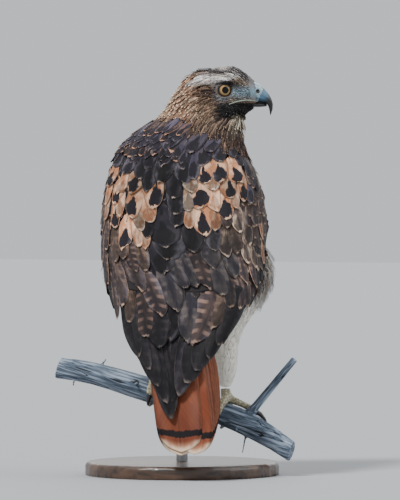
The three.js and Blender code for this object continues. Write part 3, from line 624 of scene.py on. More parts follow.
def cell_blend(table, rows, columns):
    """Blend of a table's four values round each fractional row and column."""
    r = np.clip(rows, 0, table.shape[0] - 1.001)
    c = np.clip(columns, 0, table.shape[1] - 1.001)
    i, j = r.astype(int), c.astype(int)
    a, b = r - i, c - j
    low = table[i, j] * (1 - b) + table[i, j + 1] * b
    high = table[i + 1, j] * (1 - b) + table[i + 1, j + 1] * b
    return low * (1 - a) + high * a


def cloak_angle(round_way, height):
    """Turn of the section at a distance round from the midline."""
    rows = (height - CLOAK_HEIGHTS[0]) / CLOAK_STEP
    return cell_blend(angle_table, rows, (round_way - CLOAK_ROUND[0]) / CLOAK_STEP)


def on_cloak(round_way, height):
    """Place of the cloak at a distance round from the midline and a height."""
    shape = np.shape(round_way)
    angle = cloak_angle(round_way, height)
    return section_point(angle.ravel(), np.broadcast_to(height, shape).ravel()).reshape(*shape, 3)


def cloak_direction(round_way, height):
    """Outward direction of the cloak from steps of 4 millimetres across and up it."""
    across = on_cloak(round_way + PROBE, height) - on_cloak(round_way - PROBE, height)
    up = on_cloak(round_way, height + PROBE) - on_cloak(round_way, height - PROBE)
    return unit(np.cross(across, up))


def edge_turn(height):
    """Turn of the wing's front edge in radians."""
    return np.radians(np.interp(height, CLOAK[:, 0], CLOAK[:, 4]))


def turn_of(points):
    """The section's turn through each point of the body."""
    height = points[:, 2]
    back, deep, width, _, shift, front, twist = along(height, CLOAK).T
    middle = back + deep
    reach = np.where(points[:, 1] < middle, deep, np.maximum(deep, front - middle))
    x = (points[:, 0] - LEAN * (height - LEAN_PIVOT) - shift) / width
    y = (middle - points[:, 1]) / reach
    return np.arctan2(powered(x, 1 / SQUARE), powered(y, 1 / SQUARE)) - np.radians(twist)


print("cloak map:", *angle_table.shape, "cells")

# %% [markdown]
# ## Places on meshes and in the picture
# Small feathers start from random points of a mesh, spread evenly by area. The broad ones start
# from pixels of the picture: each pixel is carried along the view to the cloak in short steps.

# %% Random points and pixels
def surface_samples(mesh, count):
    """Random points of a mesh, spread by area: the mesh's triangles are picked by size."""
    mesh.calc_loop_triangles()
    corners = numbers(mesh.loop_triangles, "vertices", 3, np.int32)
    points = millimetres(numbers(mesh.vertices, "co", 3))[corners]
    area = np.linalg.norm(np.cross(points[:, 1] - points[:, 0], points[:, 2] - points[:, 0]), axis=1)
    picked = chance.choice(len(area), count, p=area / area.sum())
    a, b = chance.random((2, count, 1))
    flip = a + b > 1
    a, b = np.where(flip, 1 - a, a), np.where(flip, 1 - b, b)
    shares = np.concatenate([1 - a - b, a, b], 1)
    return np.einsum("nk,nkd->nd", shares, points[picked]), picked, shares


def on_back(pixels):
    """Distance round and height at places of the picture, walked to along the cloak in small steps."""
    pixels = np.asarray(pixels, float)
    wanted = np.stack([pixels[:, 0] - IMAGE_SIZE[0] / 2, IMAGE_SIZE[1] / 2 - pixels[:, 1]], 1) * PIXEL
    place = wanted + [VIEW_CENTRE @ view_right, VIEW_CENTRE[2]]
    for _ in range(60):
        away = on_cloak(place[:, 0], place[:, 1]) - VIEW_CENTRE
        place = place + 0.5 * (wanted - np.stack([away @ view_right, away @ view_up], 1))
    return place


walked = on_back([[200, 250], [150, 200], [230, 220]])
print("places round and up for three pixels:", np.round(walked, 1).tolist())

# %% [markdown]
# ## One feather, many times
# A feather's vane is a thin blade: narrow at the root, broad in the middle and rounded at the tip,
# arched across and curved along. It is worked out for all feathers of a kind at once, as a grid of
# shares along and across, with an upper and a lower face that meet at the rim.

# %% Vane shape
# Thickness of small, broad and tail vanes in millimetres. Real ones are thinner; these keep a clean rim.
SMALL_VANE, BROAD_VANE, TAIL_VANE = 0.25, 0.4, 0.5


def vane_faces(rows, columns, count):
    """Faces of count closed blades whose upper and lower grids share their rim."""
    upper = np.arange(rows * columns).reshape(rows, columns)
    lower = upper.copy()
    inner = (rows - 2) * (columns - 2)
    lower[1:-1, 1:-1] = rows * columns + np.arange(inner).reshape(rows - 2, columns - 2)
    a = np.stack([upper[:-1, :-1], upper[1:, :-1], upper[1:, 1:], upper[:-1, 1:]], -1).reshape(-1, 4)
    b = np.stack([lower[:-1, :-1], lower[:-1, 1:], lower[1:, 1:], lower[1:, :-1]], -1).reshape(-1, 4)
    one, size = np.concatenate([a, b]), rows * columns + inner
    return (one[None] + size * np.arange(count)[:, None, None]).reshape(-1, 4)


def vane_width(share, fullness):
    """Width along a vane, 0 to 1: opens as 0.42 + 1.3 share^0.8, closes as (1 - share^fullness)^0.5."""
    return np.minimum(1, 0.42 + 1.3 * share**0.8) * np.sqrt(np.maximum(1 - share**fullness, 0.02))


def vane_grid(rows, columns):
    """Shares along and across a vane, with its rows closer together near the tip."""
    return np.meshgrid(1 - (1 - np.linspace(0, 1, rows)) ** 1.5, np.linspace(-1, 1, columns), indexing="ij")


def blades(place, rows, columns, thick):
    """Points of many vanes. place(along, across) gives upper points and outward directions, both
    (feathers, rows, columns, 3). The lower face lies thick millimetres below, but for the rim."""
    v, t = vane_grid(rows, columns)
    top, way = place(v, t)
    inner = (top - way * thick)[:, 1:-1, 1:-1].reshape(len(top), -1, 3)
    points = np.concatenate([top.reshape(len(top), -1, 3), inner], 1)
    shares = np.stack([t * 0.5 + 0.5, v], -1)
    flat = np.concatenate([shares.reshape(-1, 2), shares[1:-1, 1:-1].reshape(-1, 2)])
    return points, flat


print("faces of one vane of 9 by 7 points:", len(vane_faces(9, 7, 1)))

# %% [markdown]
# ## A coat piece
# Feathers of one kind form one piece. Each keeps its own small place on the piece's map: the long
# ones get a square tile each, and the small ones the patch of skin that they grow from.

# %% Coat pieces
def make_vanes(name, points, shares, corner, patch, rows, columns, looks, material, slot, nodes=()):
    """A coat piece from blades: its own map Vane, the bake map with one patch for each vane, and looks."""
    count, size = points.shape[:2]
    faces = vane_faces(rows, columns, count)
    piece = make_piece(name, points.reshape(-1, 3), [faces], material, nodes)
    set_map(piece, "Vane", np.tile(shares, (count, 1)))
    baked = corner[:, None] + (shares[None] - 0.5) * patch
    set_map(piece, "OFBake", baked.reshape(-1, 2))
    for key, values in looks.items():
        set_colours(piece, key, np.repeat(values, size, 0))
    return piece


def tiles(count):
    """Centres and size of square tiles that fill the map, one for each long feather."""
    side = int(np.ceil(np.sqrt(count)))
    k = np.arange(count)
    return np.stack([(k % side + 0.5) / side, (k // side + 0.5) / side], -1), 0.94 / side


# %% [markdown]
# ## Plumage colours
# A feather carries a ground colour, an edge, a dark centre and bars. Each kind of feather on the
# back is one row of a table, as a painter would lay out a palette before starting.

# %% Kinds of feather
# Kind: ground, edge, centre, edge width, bars, centre strength, patches, pale tip.
KINDS = {
    "dark": ("36323f", "9a8a84", "0c0a10", 0.02, 0.02, 0.85, 0.08, 0.7),
    "black": ("1b1922", "b3a49c", "08070b", 0.03, 0.0, 0.8, 0.03, 0.9),
    "mantle": ("4a4556", "84706a", "131018", 0.04, 0.0, 0.85, 0.15, 0.3),
    "tipped": ("2a242c", "b88c72", "131119", 0.17, 0.0, 0.8, 0.2, 0.8),
    "scapular": ("a8714f", "dcb699", "131018", 0.09, 0.0, 1.0, 0.7, 0.7),
    "buff": ("a8714f", "dcb699", "2a1d1a", 0.08, 0.2, 0.5, 0.8, 0.6),
    "cream": ("b08566", "ead6c2", "33241d", 0.10, 0.4, 0.6, 0.55, 0.6),
    "barred": ("251f22", "866b5e", "19151a", 0.05, 0.62, 0.2, 0.12, 0.6),
    "brown": ("46382f", "94796a", "1d181b", 0.06, 0.3, 0.6, 0.3, 0.6),
    "edged": ("332a2d", "b1907a", "211c21", 0.09, 0.2, 0.7, 0.15, 0.7),
    "grey": ("232128", "84786f", "17151b", 0.04, 0.12, 0.6, 0.2, 0.6),
    "shoulder": ("473a37", "a58a76", "1f1a1e", 0.09, 0.10, 0.6, 0.3, 0.2),
    "wisp": ("a9a5a2", "c9c6c2", "77706c", 0.1, 0.0, 0.1, 0.2, 0.0),
    "streaked": ("4a3d38", "cbb19b", "1d181a", 0.13, 0.1, 0.75, 0.4, 0.8),
    "flight": ("0e0d13", "544b4c", "0b090e", 0.03, 0.15, 0.4, 0.08, 0.3),
}
print("kinds of feather:", len(KINDS))

# %% [markdown]
# ## Colours by place
# Over head, neck, breast and legs the colours change smoothly with the place: slaty crown, pale
# band behind the eye, blue-grey lores, black streak under the cheek, streaked belly band and cream
# legs. So they are a function of the place, shared by the skin and the feathers above it.

# %% Colours by place
EYE_PLACE = np.array([-2.7, 16.8, 0.0])


def blend(first, second, share):
    """Mix of two colours, or rows of them, by a share for each row."""
    return first + (np.asarray(second) - first) * np.asarray(share)[..., None]


def bump_at(value, centre, reach):
    """1 at the centre, 0 beyond the reach."""
    return 1 - ease(np.abs(value - centre), 0, reach)


def body_colours(points):
    """Ground, edge and centre colours and their strengths for the small feathers, from the place."""
    points = np.asarray(points, float)
    h = in_head(points)
    forward, side, up = h[:, 0], np.abs(h[:, 1]), h[:, 2]
    looks = [np.ones((len(points), 1)) * linear(text) for text in ("6a4e3d", "cfb394", "30231f")]
    strength = np.full(len(points), 0.6)
    edge_width = np.full(len(points), 0.22)
    patch = np.full(len(points), 0.3)

    def area(share, *texts):
        """Lays up to three colours over the ones before by a share."""
        for k, text in enumerate(texts):
            looks[k] = blend(looks[k], linear(text), share)

    # Dark hind neck, cream breast and the streaked band across the belly.
    front = ease(points[:, 1] - 34 * ease(points[:, 2], 205, 250), -5, 40)
    low = 1 - ease(points[:, 2], 262, 296)
    area(low * (1 - front), "2c2324", "8c705d", "171216")
    breast = front * (1 - ease(points[:, 2], 262, 286))
    area(breast, "e8dcc6", "f5eedf", "5a3a26")
    band = bump_at(points[:, 2], 146, 40) * 0.75 + 0.06
    sides = ease(np.abs(points[:, 0] - 10), 30, 62) * ease(points[:, 2], 130, 200)
    strength = strength + (np.clip(band + sides * 0.8, 0, 1) - strength) * breast

    # Warm nape, dark patch behind the cheek, slaty crown, a painted highlight on the top of the crown and the
    # ring round the eye.
    head = ease(points[:, 2], 280, 296)
    edge_width = edge_width + 0.07 * head * ease(-forward, 20, 36)
    area(head * ease(-forward, 20, 40), "cf9070", "fde0c2", "543a29")
    area(head * bump_at(up, -5, 17) * bump_at(forward, -20, 19) * ease(side, 14, 20),
         "32211a", "98785f", "150e0b")
    crown = ease(up + 0.42 * np.maximum(forward - 4, 0), 13, 18) * (1 - ease(side, 21, 26))
    area(head * crown, "20171c", "e0d8d5", "0c090b")
    edge_width = edge_width * (1 - 0.6 * head * crown)
    patch = patch * (1 - 0.8 * head * crown)
    # Painted highlight: near white on the top of the crown above the eyes, where the light falls.
    area(head * bump_at(forward, 1, 11) * ease(up, 19.5, 21.5), "e4dfda", "f6f3ee", "5d5048")
    eye_side = np.linalg.norm(np.stack([forward, up], 1) - EYE_PLACE[[0, 2]], axis=1)
    area(head * bump_at(eye_side, 9.5, 5.5) * ease(side, 10, 15), "4a494c", "909396", "242325")
    # Pale band over and behind the eye, blue-grey lores, the black upper lid line with painted shade under
    # the brow ridge above it, and grey cheek.
    off_band = (up - 12.4 - 0.08 * forward) / (5 + 2.5 * ease(-forward, 4, 20))
    pale = bump_at(off_band, 0, 1) * ease(side, 12, 18)
    pale = np.minimum(1, 1.5 * pale * (1 - ease(forward, 6, 17)) * ease(forward, -46, -30))
    area(head * pale, "f4efea", "fdfcf9", "857a73")
    area(head * bump_at(up, -2, 9) * bump_at(forward, -17, 10) * ease(side, 14, 20),
         "33241f", "7d6250", "1c1514")
    lore = ease(forward, 5, 11) * bump_at(up, -2.5, 12.5) * ease(side, 2, 7)
    area(head * lore, "6f8d9e", "b6cad4", "232a30")
    # Painted shade under the brow ridge, near black, laid over the black line of the upper lid.
    brow_shade = head * np.minimum(1, 1.6 * bump_at(up, 7.6 - 0.1 * forward, 4.2)) * bump_at(forward, 2, 20)
    area(brow_shade * ease(side, 12, 17), "100d0e", "241e1e", "0a0808")
    area(head * bump_at(up, -10.5, 4.5) * bump_at(forward, -1, 14) * ease(side, 12, 18),
         "3c3e41", "868a8c", "1d1d1f")
    # Black streak under the cheek, buff chin and cream legs.
    malar = ease(-up, 12, 15) * ease(forward, -16, -4) * (1 - ease(-up, 30, 37))
    area(ease(points[:, 2], 276, 286) * malar, "0a090a", "1e1a19", "060505")
    edge_width = edge_width * (1 - 0.7 * malar)
    chin = ease(-up, 25, 33) * ease(points[:, 2], 266, 280) * ease(forward, 2, 12)
    area(chin, "d9cdb0", "f2e9d4", "4b3a2b")
    area(1 - ease(points[:, 2], 92, 108), "f6f1e4", "fcf9f2", "cdb9a0")
    strength = strength * (1 - ease(112 - points[:, 2], 0, 16))
    patch = patch * (1 - 0.8 * ease(112 - points[:, 2], 0, 16))
    return *looks, np.stack([edge_width, strength, patch], 1)


# %% [markdown]
# ## The looks of each feather
# No two feathers are quite alike. Each one is a little lighter or darker than its neighbours, and
# carries its size and a number drawn by chance, from which its pattern starts.

# %% Looks of each feather
KIND_SPREAD = 0.28


def spread_looks(colours, strengths, marks, sizes, spread):
    """Attributes for a set of feathers: each one a little lighter or darker than its neighbours."""
    ground_colour, edge_colour, centre_colour = colours
    n = len(ground_colour)
    tone = np.clip(1 + spread * chance.standard_normal((n, 1)), 0.55, 1.7)
    return {
        "ground": np.concatenate([ground_colour * tone, strengths[:, :1]], 1),
        "edge": np.concatenate([edge_colour * tone, marks[:, :1]], 1),
        "centre": np.concatenate([centre_colour * tone, strengths[:, 1:2]], 1),
        "measure": np.concatenate([sizes, chance.random((n, 1)), marks[:, 3:4]], 1),
        "marks": np.concatenate([marks[:, 1:3], np.zeros((n, 2))], 1),
    }


def kind_looks(kinds, sizes, shifts=None):
    """Attributes for feathers that each name a kind of the table, with the centre's shift to a side."""
    rows = [KINDS[k] for k in kinds]
    n = len(rows)
    shifts = chance.normal(0, 0.12, n) if shifts is None else np.asarray(shifts, float)
    colours = [np.array([linear(r[k]) for r in rows]) for k in range(3)]
    strengths = np.array([[r[3], r[5]] for r in rows])
    marks = np.array([[r[4], r[6], r[7], 0] for r in rows], float)
    marks[:, 3] = shifts
    marks[:, 2] *= chance.uniform(0.1, 1.0, n)
    return spread_looks(colours, strengths, marks, sizes, KIND_SPREAD)


# %% [markdown]
# ## Feather material
# Keratin barbs run slantwise from the shaft to the rim, a few to the millimetre. The material reads
# the place on the vane, 0 to 1 across and along, and lays down ground, edge, bars, dark centre,
# barb lines and shaft in that order. Dry keratin is fairly rough, with a faint silky sheen.

# %% Feather material
# Share along the vane, and how far from the shaft the dark centre reaches there.
CENTRE_REACH = [(0, -0.1), (0.34, -0.04), (0.48, 0.16), (0.62, 0.5), (0.76, 0.86), (0.86, 0.98),
                (0.92, 0.8), (0.96, -0.1)]


def vane_material(name, bars=7.0, barb=2.6, roughness=0.62, sheen=0.02, relief=0.5, painted_sheen=0.5):
    """Feather keratin, matt with a silky glance. bars: bars to a vane; barb: barb lines to a
    millimetre, coarser than the real ones; the last argument: how strong a painted sheen, pale bluish grey,
    lies on the margins."""
    material, tree, shader = new_material(name)
    do = partial(wire, tree)
    place = add(tree, "ShaderNodeUVMap", uv_map="Vane").outputs[0]
    split = add(tree, "ShaderNodeSeparateXYZ", {0: place})
    signed = do("MULTIPLY_ADD", split.outputs[0], 2.0, -1.0)
    across, run = do("ABSOLUTE", signed), split.outputs[1]
    read = {k: add(tree, "ShaderNodeAttribute", attribute_name=k).outputs
            for k in ("ground", "edge", "centre", "measure", "marks")}
    measure = add(tree, "ShaderNodeSeparateColor", {0: read["measure"]["Color"]})
    marks = add(tree, "ShaderNodeSeparateColor", {0: read["marks"]["Color"]})
    length, width, luck = measure.outputs[0], measure.outputs[1], measure.outputs[2]
    seed = do("MULTIPLY", luck, 37.0)
    grain_place = do("join", split.outputs[0], run, seed)
    wander = do("SUBTRACT", do("noise", grain_place, 6.0, 5.0), 0.5)
    cloud = do("noise", grain_place, 2.4, 2.0)

    # Slanting barbs and the streaks of worn barbs between them, 1.3 to a millimetre.
    slant = do("MULTIPLY", do("MULTIPLY", across, width), 0.75)
    spot = do("SUBTRACT", do("MULTIPLY", run, length), slant)
    barbs = do("SINE", do("MULTIPLY", spot, barb * 2 * np.pi / MM))
    streak_place = do("join", do("MULTIPLY", spot, 1.3 / MM), do("MULTIPLY", across, 0.8), seed)
    stripes = do("noise", streak_place, 1.0, 3.0)
    streak = do("MULTIPLY_ADD", stripes, 1.1, 0.45)
    fray = do("SUBTRACT", stripes, 0.5)

    # Cloudy patches of the edge colour, then wavy bars that stop short of the shaft.
    colour = read["ground"]["Color"]
    patch = do("MULTIPLY", do("ease", cloud, 0.42, 0.6), marks.outputs[0])
    colour = do("mix", patch, colour, read["edge"]["Color"])
    wave = do("MULTIPLY_ADD", run, bars * 2 * np.pi, do("MULTIPLY", across, -1.9))
    wave = do("MULTIPLY_ADD", wander, 1.6, wave)
    bar = do("ease", do("SINE", wave), 0.0, 0.8)
    bar = do("MULTIPLY", bar, read["edge"]["Alpha"])
    bar = do("MULTIPLY", bar, do("ease", across, 0.06, 0.4))
    bar = do("MULTIPLY", bar, do("ease", cloud, 0.3, 0.5))
    colour = do("mix", bar, colour, read["edge"]["Color"])

    # The dark centre, with a ragged outline.
    ragged = do("SUBTRACT", do("noise", grain_place, 3.6, 3.0), 0.5)
    outline = add(tree, "ShaderNodeValToRGB", {"Fac": do("MULTIPLY_ADD", ragged, 0.3, run)})
    steps = outline.color_ramp.elements
    while len(steps) < len(CENTRE_REACH):
        steps.new(1.0)
    for step, (station, grey) in zip(steps, CENTRE_REACH):
        step.position = station
        step.color = (grey, grey, grey, 1)
    reach = do("MULTIPLY", outline.outputs[0], do("MULTIPLY_ADD", luck, 0.4, 0.78))
    reach = do("MULTIPLY_ADD", wander, 0.8, do("MULTIPLY_ADD", fray, 0.35, reach))
    shift = do("MULTIPLY_ADD", read["measure"]["Alpha"], -1.0, signed)
    inside = do("SUBTRACT", reach, do("ABSOLUTE", shift))
    core = do("MULTIPLY", do("ease", inside, -0.03, 0.08), read["centre"]["Alpha"])
    colour = do("mix", core, colour, read["centre"]["Color"])

    # The pale edge, broadest round the tip, and the worn tip itself.
    tip = do("MULTIPLY_ADD", run, 2.4, -1.4)
    rim = do("SMOOTH_MAX", across, tip, 0.12)
    rim = do("MULTIPLY_ADD", wander, 0.16, do("MULTIPLY_ADD", fray, 0.12, rim))
    start = do("SUBTRACT", 1.0, read["ground"]["Alpha"])
    edge = do("ease", do("SUBTRACT", rim, start), -0.05, 0.05)
    colour = do("mix", edge, colour, read["edge"]["Color"])
    end = do("MULTIPLY", do("ease", rim, 0.88, 0.99), do("ease", run, 0.82, 0.96))
    end = do("MULTIPLY", end, marks.outputs[1])
    colour = do("mix", end, colour, paint("b8a493"))

    # Painted sheen: pale bluish grey on the margins, stronger on some feathers; then barb streaks over all,
    # and the thin dark shaft.
    painted_sheen_mask = do("ease", do("MULTIPLY_ADD", ragged, 1.2, across), 0.3, 1.0)
    painted_sheen_mask = do("MULTIPLY", painted_sheen_mask, do("ease", cloud, 0.35, 0.65))
    painted_sheen_share = do("MULTIPLY_ADD", do("POWER", luck, 2.0), painted_sheen, 0.04)
    colour = do("mix", do("MULTIPLY", painted_sheen_mask, painted_sheen_share), colour, paint("86828e"))
    colour = do("tint", 1.0, colour, streak)
    shaft = do("SUBTRACT", 1.0, do("ease", across, 0.012, 0.05))
    shaft = do("MULTIPLY", shaft, 0.55)
    colour = do("mix", shaft, colour, do("mix", 0.5, colour, paint("1c1614")))
    height = do("MULTIPLY_ADD", barbs, 0.5, do("MULTIPLY", shaft, 4.0))
    set_inputs(tree, shader, {
        "Base Color": colour, "Normal": do("bump", height, 0.22 * MM, relief),
        "Roughness": roughness, "Sheen Weight": sheen, "Sheen Roughness": 0.45,
        "Specular IOR Level": 0.2})
    return material


# Small feathers are the softest and mattest, coverts are barred, and flight feathers are smoothest.
contour_material = vane_material("small_feather_keratin", bars=0.0, barb=2.2, roughness=0.78, sheen=0.04)
covert_material = vane_material("covert_keratin", bars=6.5)
flight_material = vane_material("flight_feather_keratin", bars=8.0, barb=2.0, roughness=0.52, painted_sheen=0.16)
print("nodes in the feather material:", len(covert_material.node_tree.nodes))

# %% [markdown]
# ## Finishing the skin
# The skin takes the same colours as the coat, so that a gap between feathers never shows a wrong
# colour, and gets its own unwrap. The root of every small feather keeps its place on that unwrap.

# %% Skin material and map
def down_material(name):
    """Short matted down: the soft, coloured ground between feathers, in tufts about 1 mm wide."""
    material, tree, shader = new_material(name)
    do = partial(wire, tree)
    colour = add(tree, "ShaderNodeAttribute", attribute_name="ground").outputs["Color"]
    place = add(tree, "ShaderNodeTexCoord").outputs["Object"]
    tufts = do("noise", place, 0.9 / MM, 5.0)
    tone = do("MULTIPLY_ADD", tufts, 0.7, 0.55)
    set_inputs(tree, shader, {
        "Base Color": do("tint", 1.0, colour, tone), "Normal": do("bump", tufts, 0.6 * MM),
        "Roughness": 0.9})
    return material


skin = bpy.data.objects.new("hawk_skin", skin_mesh)
dress(skin, down_material("matted_down"), FLESH)
bpy.context.view_layer.objects.active = skin
skin.select_set(True)
skin_mesh.uv_layers.new(name="OFBake")
bpy.ops.object.mode_set(mode="EDIT")
bpy.ops.mesh.select_all(action="SELECT")
bpy.ops.uv.smart_project(angle_limit=1.15, island_margin=0.002)
bpy.ops.object.mode_set(mode="OBJECT")
skin.select_set(False)

# %% [markdown]
# ## Where the wings lie
# Below the shoulder a wing hides the flank, and the small feathers of the body must not grow there.
# A place belongs to the wing where more of the wing's surface than of the flesh's lies close by,
# counted in cells of 4 mm.

# %% Places under the wings
CROWD_CELL = 4.0
WING_TOP = 262.0


def crowd(points, low, shape, cell):
    """How many points lie in and around each cell of a block, spread over two neighbours each way."""
    at = np.clip(((points - low) / cell).astype(int), 0, np.array(shape) - 1)
    count = np.bincount(np.ravel_multi_index(at.T, shape), minlength=int(np.prod(shape)))
    count = count.reshape(*shape, 1).astype(float)
    return Ground.spread(Ground.spread(count))


wing_samples = np.concatenate([surface_samples(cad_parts[n].data, 60000)[0] for n in WINGS])
flesh_samples = np.concatenate([surface_samples(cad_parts[n].data, 30000)[0] for n in FLESH])
crowd_low = skin_points.min(0) - 12
crowd_shape = tuple(np.ceil((np.ptp(skin_points, axis=0) + 24) / CROWD_CELL).astype(int) + 1)
wing_crowd = crowd(wing_samples, crowd_low, crowd_shape, CROWD_CELL)
flesh_crowd = crowd(flesh_samples, crowd_low, crowd_shape, CROWD_CELL)


def on_wing(points):
    """Where more of a wing's surface than of the flesh's lies close by."""
    at = np.clip(((points - crowd_low) / CROWD_CELL).astype(int), 0, np.array(crowd_shape) - 1)
    flat = np.ravel_multi_index(at.T, crowd_shape)
    return wing_crowd.ravel()[flat] > 1.3 * flesh_crowd.ravel()[flat]


def covered(turn, height, margin):
    """Where the cloak lies over the place, by that margin in radians inside its front edge."""
    return (np.abs(turn) < edge_turn(height) - margin) & (height < WING_TOP) & (height > -40)


# %% [markdown]
# ## Tint of the skin
# Under the wings the skin is nearly black, because what shows between the long feathers is deep
# shade. It is also sunk 3 mm there, so that it never comes through them.

# %% Tint of the skin
skin_turn, skin_height = turn_of(skin_points), skin_points[:, 2]
skin_ground, skin_edge, _, _ = body_colours(skin_points)
under_wing = ((covered(skin_turn, skin_height, 0) & (skin_height > 116)) | on_wing(skin_points))[:, None]
open_tint = blend(skin_ground, skin_edge, np.full(len(skin_points), 0.15))
sunk = 3.0 * covered(skin_turn, skin_height, 0.1) * ease(skin_height, 120, 150)
sunk_points = metres(skin_points - skin_way * sunk[:, None])
skin_mesh.vertices.foreach_set("co", sunk_points.astype(np.float32).ravel())
skin_mesh.update()
set_colours(skin, "ground", np.where(under_wing, linear("1b1517"), open_tint))
print("share of the skin under the wings:", round(float(under_wing.mean()), 2))

# %% [markdown]
# ## The lie of the small feathers
# Over head, neck, breast and legs the feathers are small and lie like tiles. They point away from
# the bill over the head, then down the body and a little back. None grow round the eyes or where
# the bill stands.

# %% Lie and bare places
BILL_ROOT = np.array([34.0, 0.0, -6.0])
EYE_TURN = np.radians(17)
EYE_BARE = 8.2


def lie(points, normals):
    """Lie of the plumage: away from the bill over the head, then down the body and a little back."""
    h = in_head(points)
    away = unit(h - BILL_ROOT)
    droop = ease(-h[:, 0], 2, 42)[:, None]
    away = unit(away * (1 - 0.75 * droop) + np.array([-0.35, 0, -1.0]) * droop)
    head_way = away[:, :1] * head_forward + away[:, 1:2] * head_left + away[:, 2:] * [0, 0, 1]
    body_way = np.tile([0.0, -0.22, -1.0], (len(points), 1))
    body_way[on_wing(points)] = [0.0, -0.75, -0.7]
    share = ease(points[:, 2], 262, 300)[:, None]
    way = unit(body_way) * (1 - share) + head_way * share
    way = way - np.sum(way * normals, 1, keepdims=True) * normals
    return unit(way)


def bare(points):
    """Places without feathers: round the eyes and where the bill stands."""
    h = in_head(points)
    none = h[:, 0] > 28.5 - 0.18 * h[:, 2]
    side = np.abs(h[:, 1])
    gaze = np.array([np.sin(EYE_TURN), np.cos(EYE_TURN), 0])
    away = np.stack([h[:, 0], side, h[:, 2]], 1) - EYE_PLACE
    deep = away @ gaze
    off = np.linalg.norm(away - deep[:, None] * gaze, axis=1)
    none |= (off < EYE_BARE) & (deep > 0)
    return none & (points[:, 2] > 285)


# %% [markdown]
# ## Roots scattered on the skin
# Each feather starts from a point scattered on the skin. To keep them evenly apart, as on a real
# bird, only one point is kept in each small cell of space.

# %% Scattered roots
def scatter(spacing, tries, keep, over):
    """Points on the skin at least about a spacing apart: one is kept for each small cell of space.

    Places where the skin turns so sharply that its block of directions differs are left bare.
    """
    points, picked, shares = surface_samples(skin_mesh, tries)
    loops = numbers(skin_mesh.loop_triangles, "loops", 3, np.int32)[picked]
    kept = keep(points) & ~bare(points)
    faces = millimetres(numbers(skin_mesh.vertices, "co", 3))[
        numbers(skin_mesh.loop_triangles, "vertices", 3, np.int32)[picked]]
    out = unit(np.cross(faces[:, 1] - faces[:, 0], faces[:, 2] - faces[:, 0]))
    high, way = over.height(points)
    shoulder = points[:, 2] > 256
    even, near = np.where(shoulder, 0.5, 0.8), np.where(shoulder, 3.5, 1.2)
    kept &= (np.sum(out * way, 1) > even) & (np.abs(high) < near)
    points, loops, shares = points[kept], loops[kept], shares[kept]
    cells = np.floor(points / spacing + chance.random(3)).astype(int)
    _, first = np.unique(cells, axis=0, return_index=True)
    points, loops, shares = points[first], loops[first], shares[first]
    layer = skin_mesh.uv_layers["OFBake"]
    places = numbers(layer.data, "uv", 2)
    return points, np.einsum("nk,nkd->nd", shares, places[loops])


# %% [markdown]
# ## A coat of small feathers
# A small feather is laid on the skin along the lie of the plumage, with its tip lifted a little and
# some chance in its length, width and turn. On forehead and chin the feathers are puffed out.

# %% Coat of small feathers
PATCH = 0.003
# Forward, up, reach forward, reach up and height of each puffed place of the head, in millimetres.
PUFFS = [(16, 13, 13, 12, 3.2), (13, -25, 15, 12, 6.5)]


def puffed(points):
    """Extra height of the loose feathers on forehead and chin."""
    h = in_head(points)
    swell = [high * bump_at(h[:, 0], f, wide) * bump_at(h[:, 2], u, tall) for f, u, wide, tall, high in PUFFS]
    return np.sum(swell, 0) * ease(points[:, 2], 278, 288) * (1 - ease(h[:, 0] + 0.2 * h[:, 2], 19, 27))


def coat(name, spacing, tries, keep, size, lifts, grid, slot, fluff=0.25, kind=None, streak=0.2, over=ground):
    """A coat piece of small feathers. size(points) gives length and width; lifts are for root and tip.

    streak: how far a feather's ground moves by chance towards its edge colour or its centre colour.
    over: the block that finds the skin; the fine one serves the face.
    """
    rows, columns = grid
    roots, corner = scatter(spacing, tries, keep, over)
    n = len(roots)
    _, normals = over.height(roots)
    way = unit(lie(roots, normals) + fluff * chance.standard_normal((n, 3)) * 0.5)
    way = unit(way - np.sum(way * normals, 1, keepdims=True) * normals)
    side = np.cross(normals, way)
    length, width = size(roots)
    length = length * chance.uniform(0.8, 1.2, n)
    width = width * chance.uniform(0.85, 1.15, n)
    tips = roots + way * length[:, None] * 0.8
    rise = (0.3 + 0.9 * ease(-in_head(tips)[:, 0], 8, 28)) * (0.25 + 0.75 * ease(tips[:, 2], 286, 306))
    rise = rise + (0.55 - rise) * (1 - ease(tips[:, 2], 232, 256))
    rise = np.maximum(rise, 0.35)
    extra = puffed(roots)
    tip_lift = lifts[1] * chance.uniform(0.6, 1.4, n) * rise + extra
    root_lift = lifts[0] * np.minimum(rise, 1) + 0.6 * extra
    roll = chance.uniform(-0.2, 0.2, n)

    def place(v, t):
        wide = vane_width(v, 3.5)
        flat = roots[:, None, None] + way[:, None, None] * (v * length[:, None, None])[..., None]
        reach = t * wide * (width / 2)[:, None, None]
        flat = flat + side[:, None, None] * reach[..., None]
        lift = root_lift[:, None, None] + (tip_lift - root_lift)[:, None, None] * v
        lift = lift - 0.12 * t**2 * width[:, None, None] + roll[:, None, None] * t
        laid = over.lay(flat.reshape(-1, 3), lift.ravel())
        _, out = over.height(laid)
        return laid.reshape(flat.shape), out.reshape(flat.shape)

    points, shares = blades(place, rows, columns, SMALL_VANE)
    ground_colour, edge_colour, centre_colour, strengths = body_colours(roots + way * length[:, None] * 0.5)
    sizes = np.stack([length, width], 1) * MM
    luck = chance.standard_normal(n)
    luck = streak * luck * np.abs(luck) * (0.3 + 0.7 * strengths[:, 2] / 0.3)
    ground_colour = blend(ground_colour, edge_colour, np.clip(luck, 0, 0.9))
    ground_colour = blend(ground_colour, centre_colour, np.clip(-luck, 0, 0.8))
    colours = (ground_colour, edge_colour, centre_colour)
    marks = np.stack([np.zeros(n), strengths[:, 2], np.zeros(n), np.zeros(n)], 1)
    looks = kind_looks([kind] * n, sizes) if kind else spread_looks(colours, strengths, marks, sizes, 0.10)
    make_vanes(name, points, shares, corner, PATCH, rows, columns, looks, contour_material, slot)


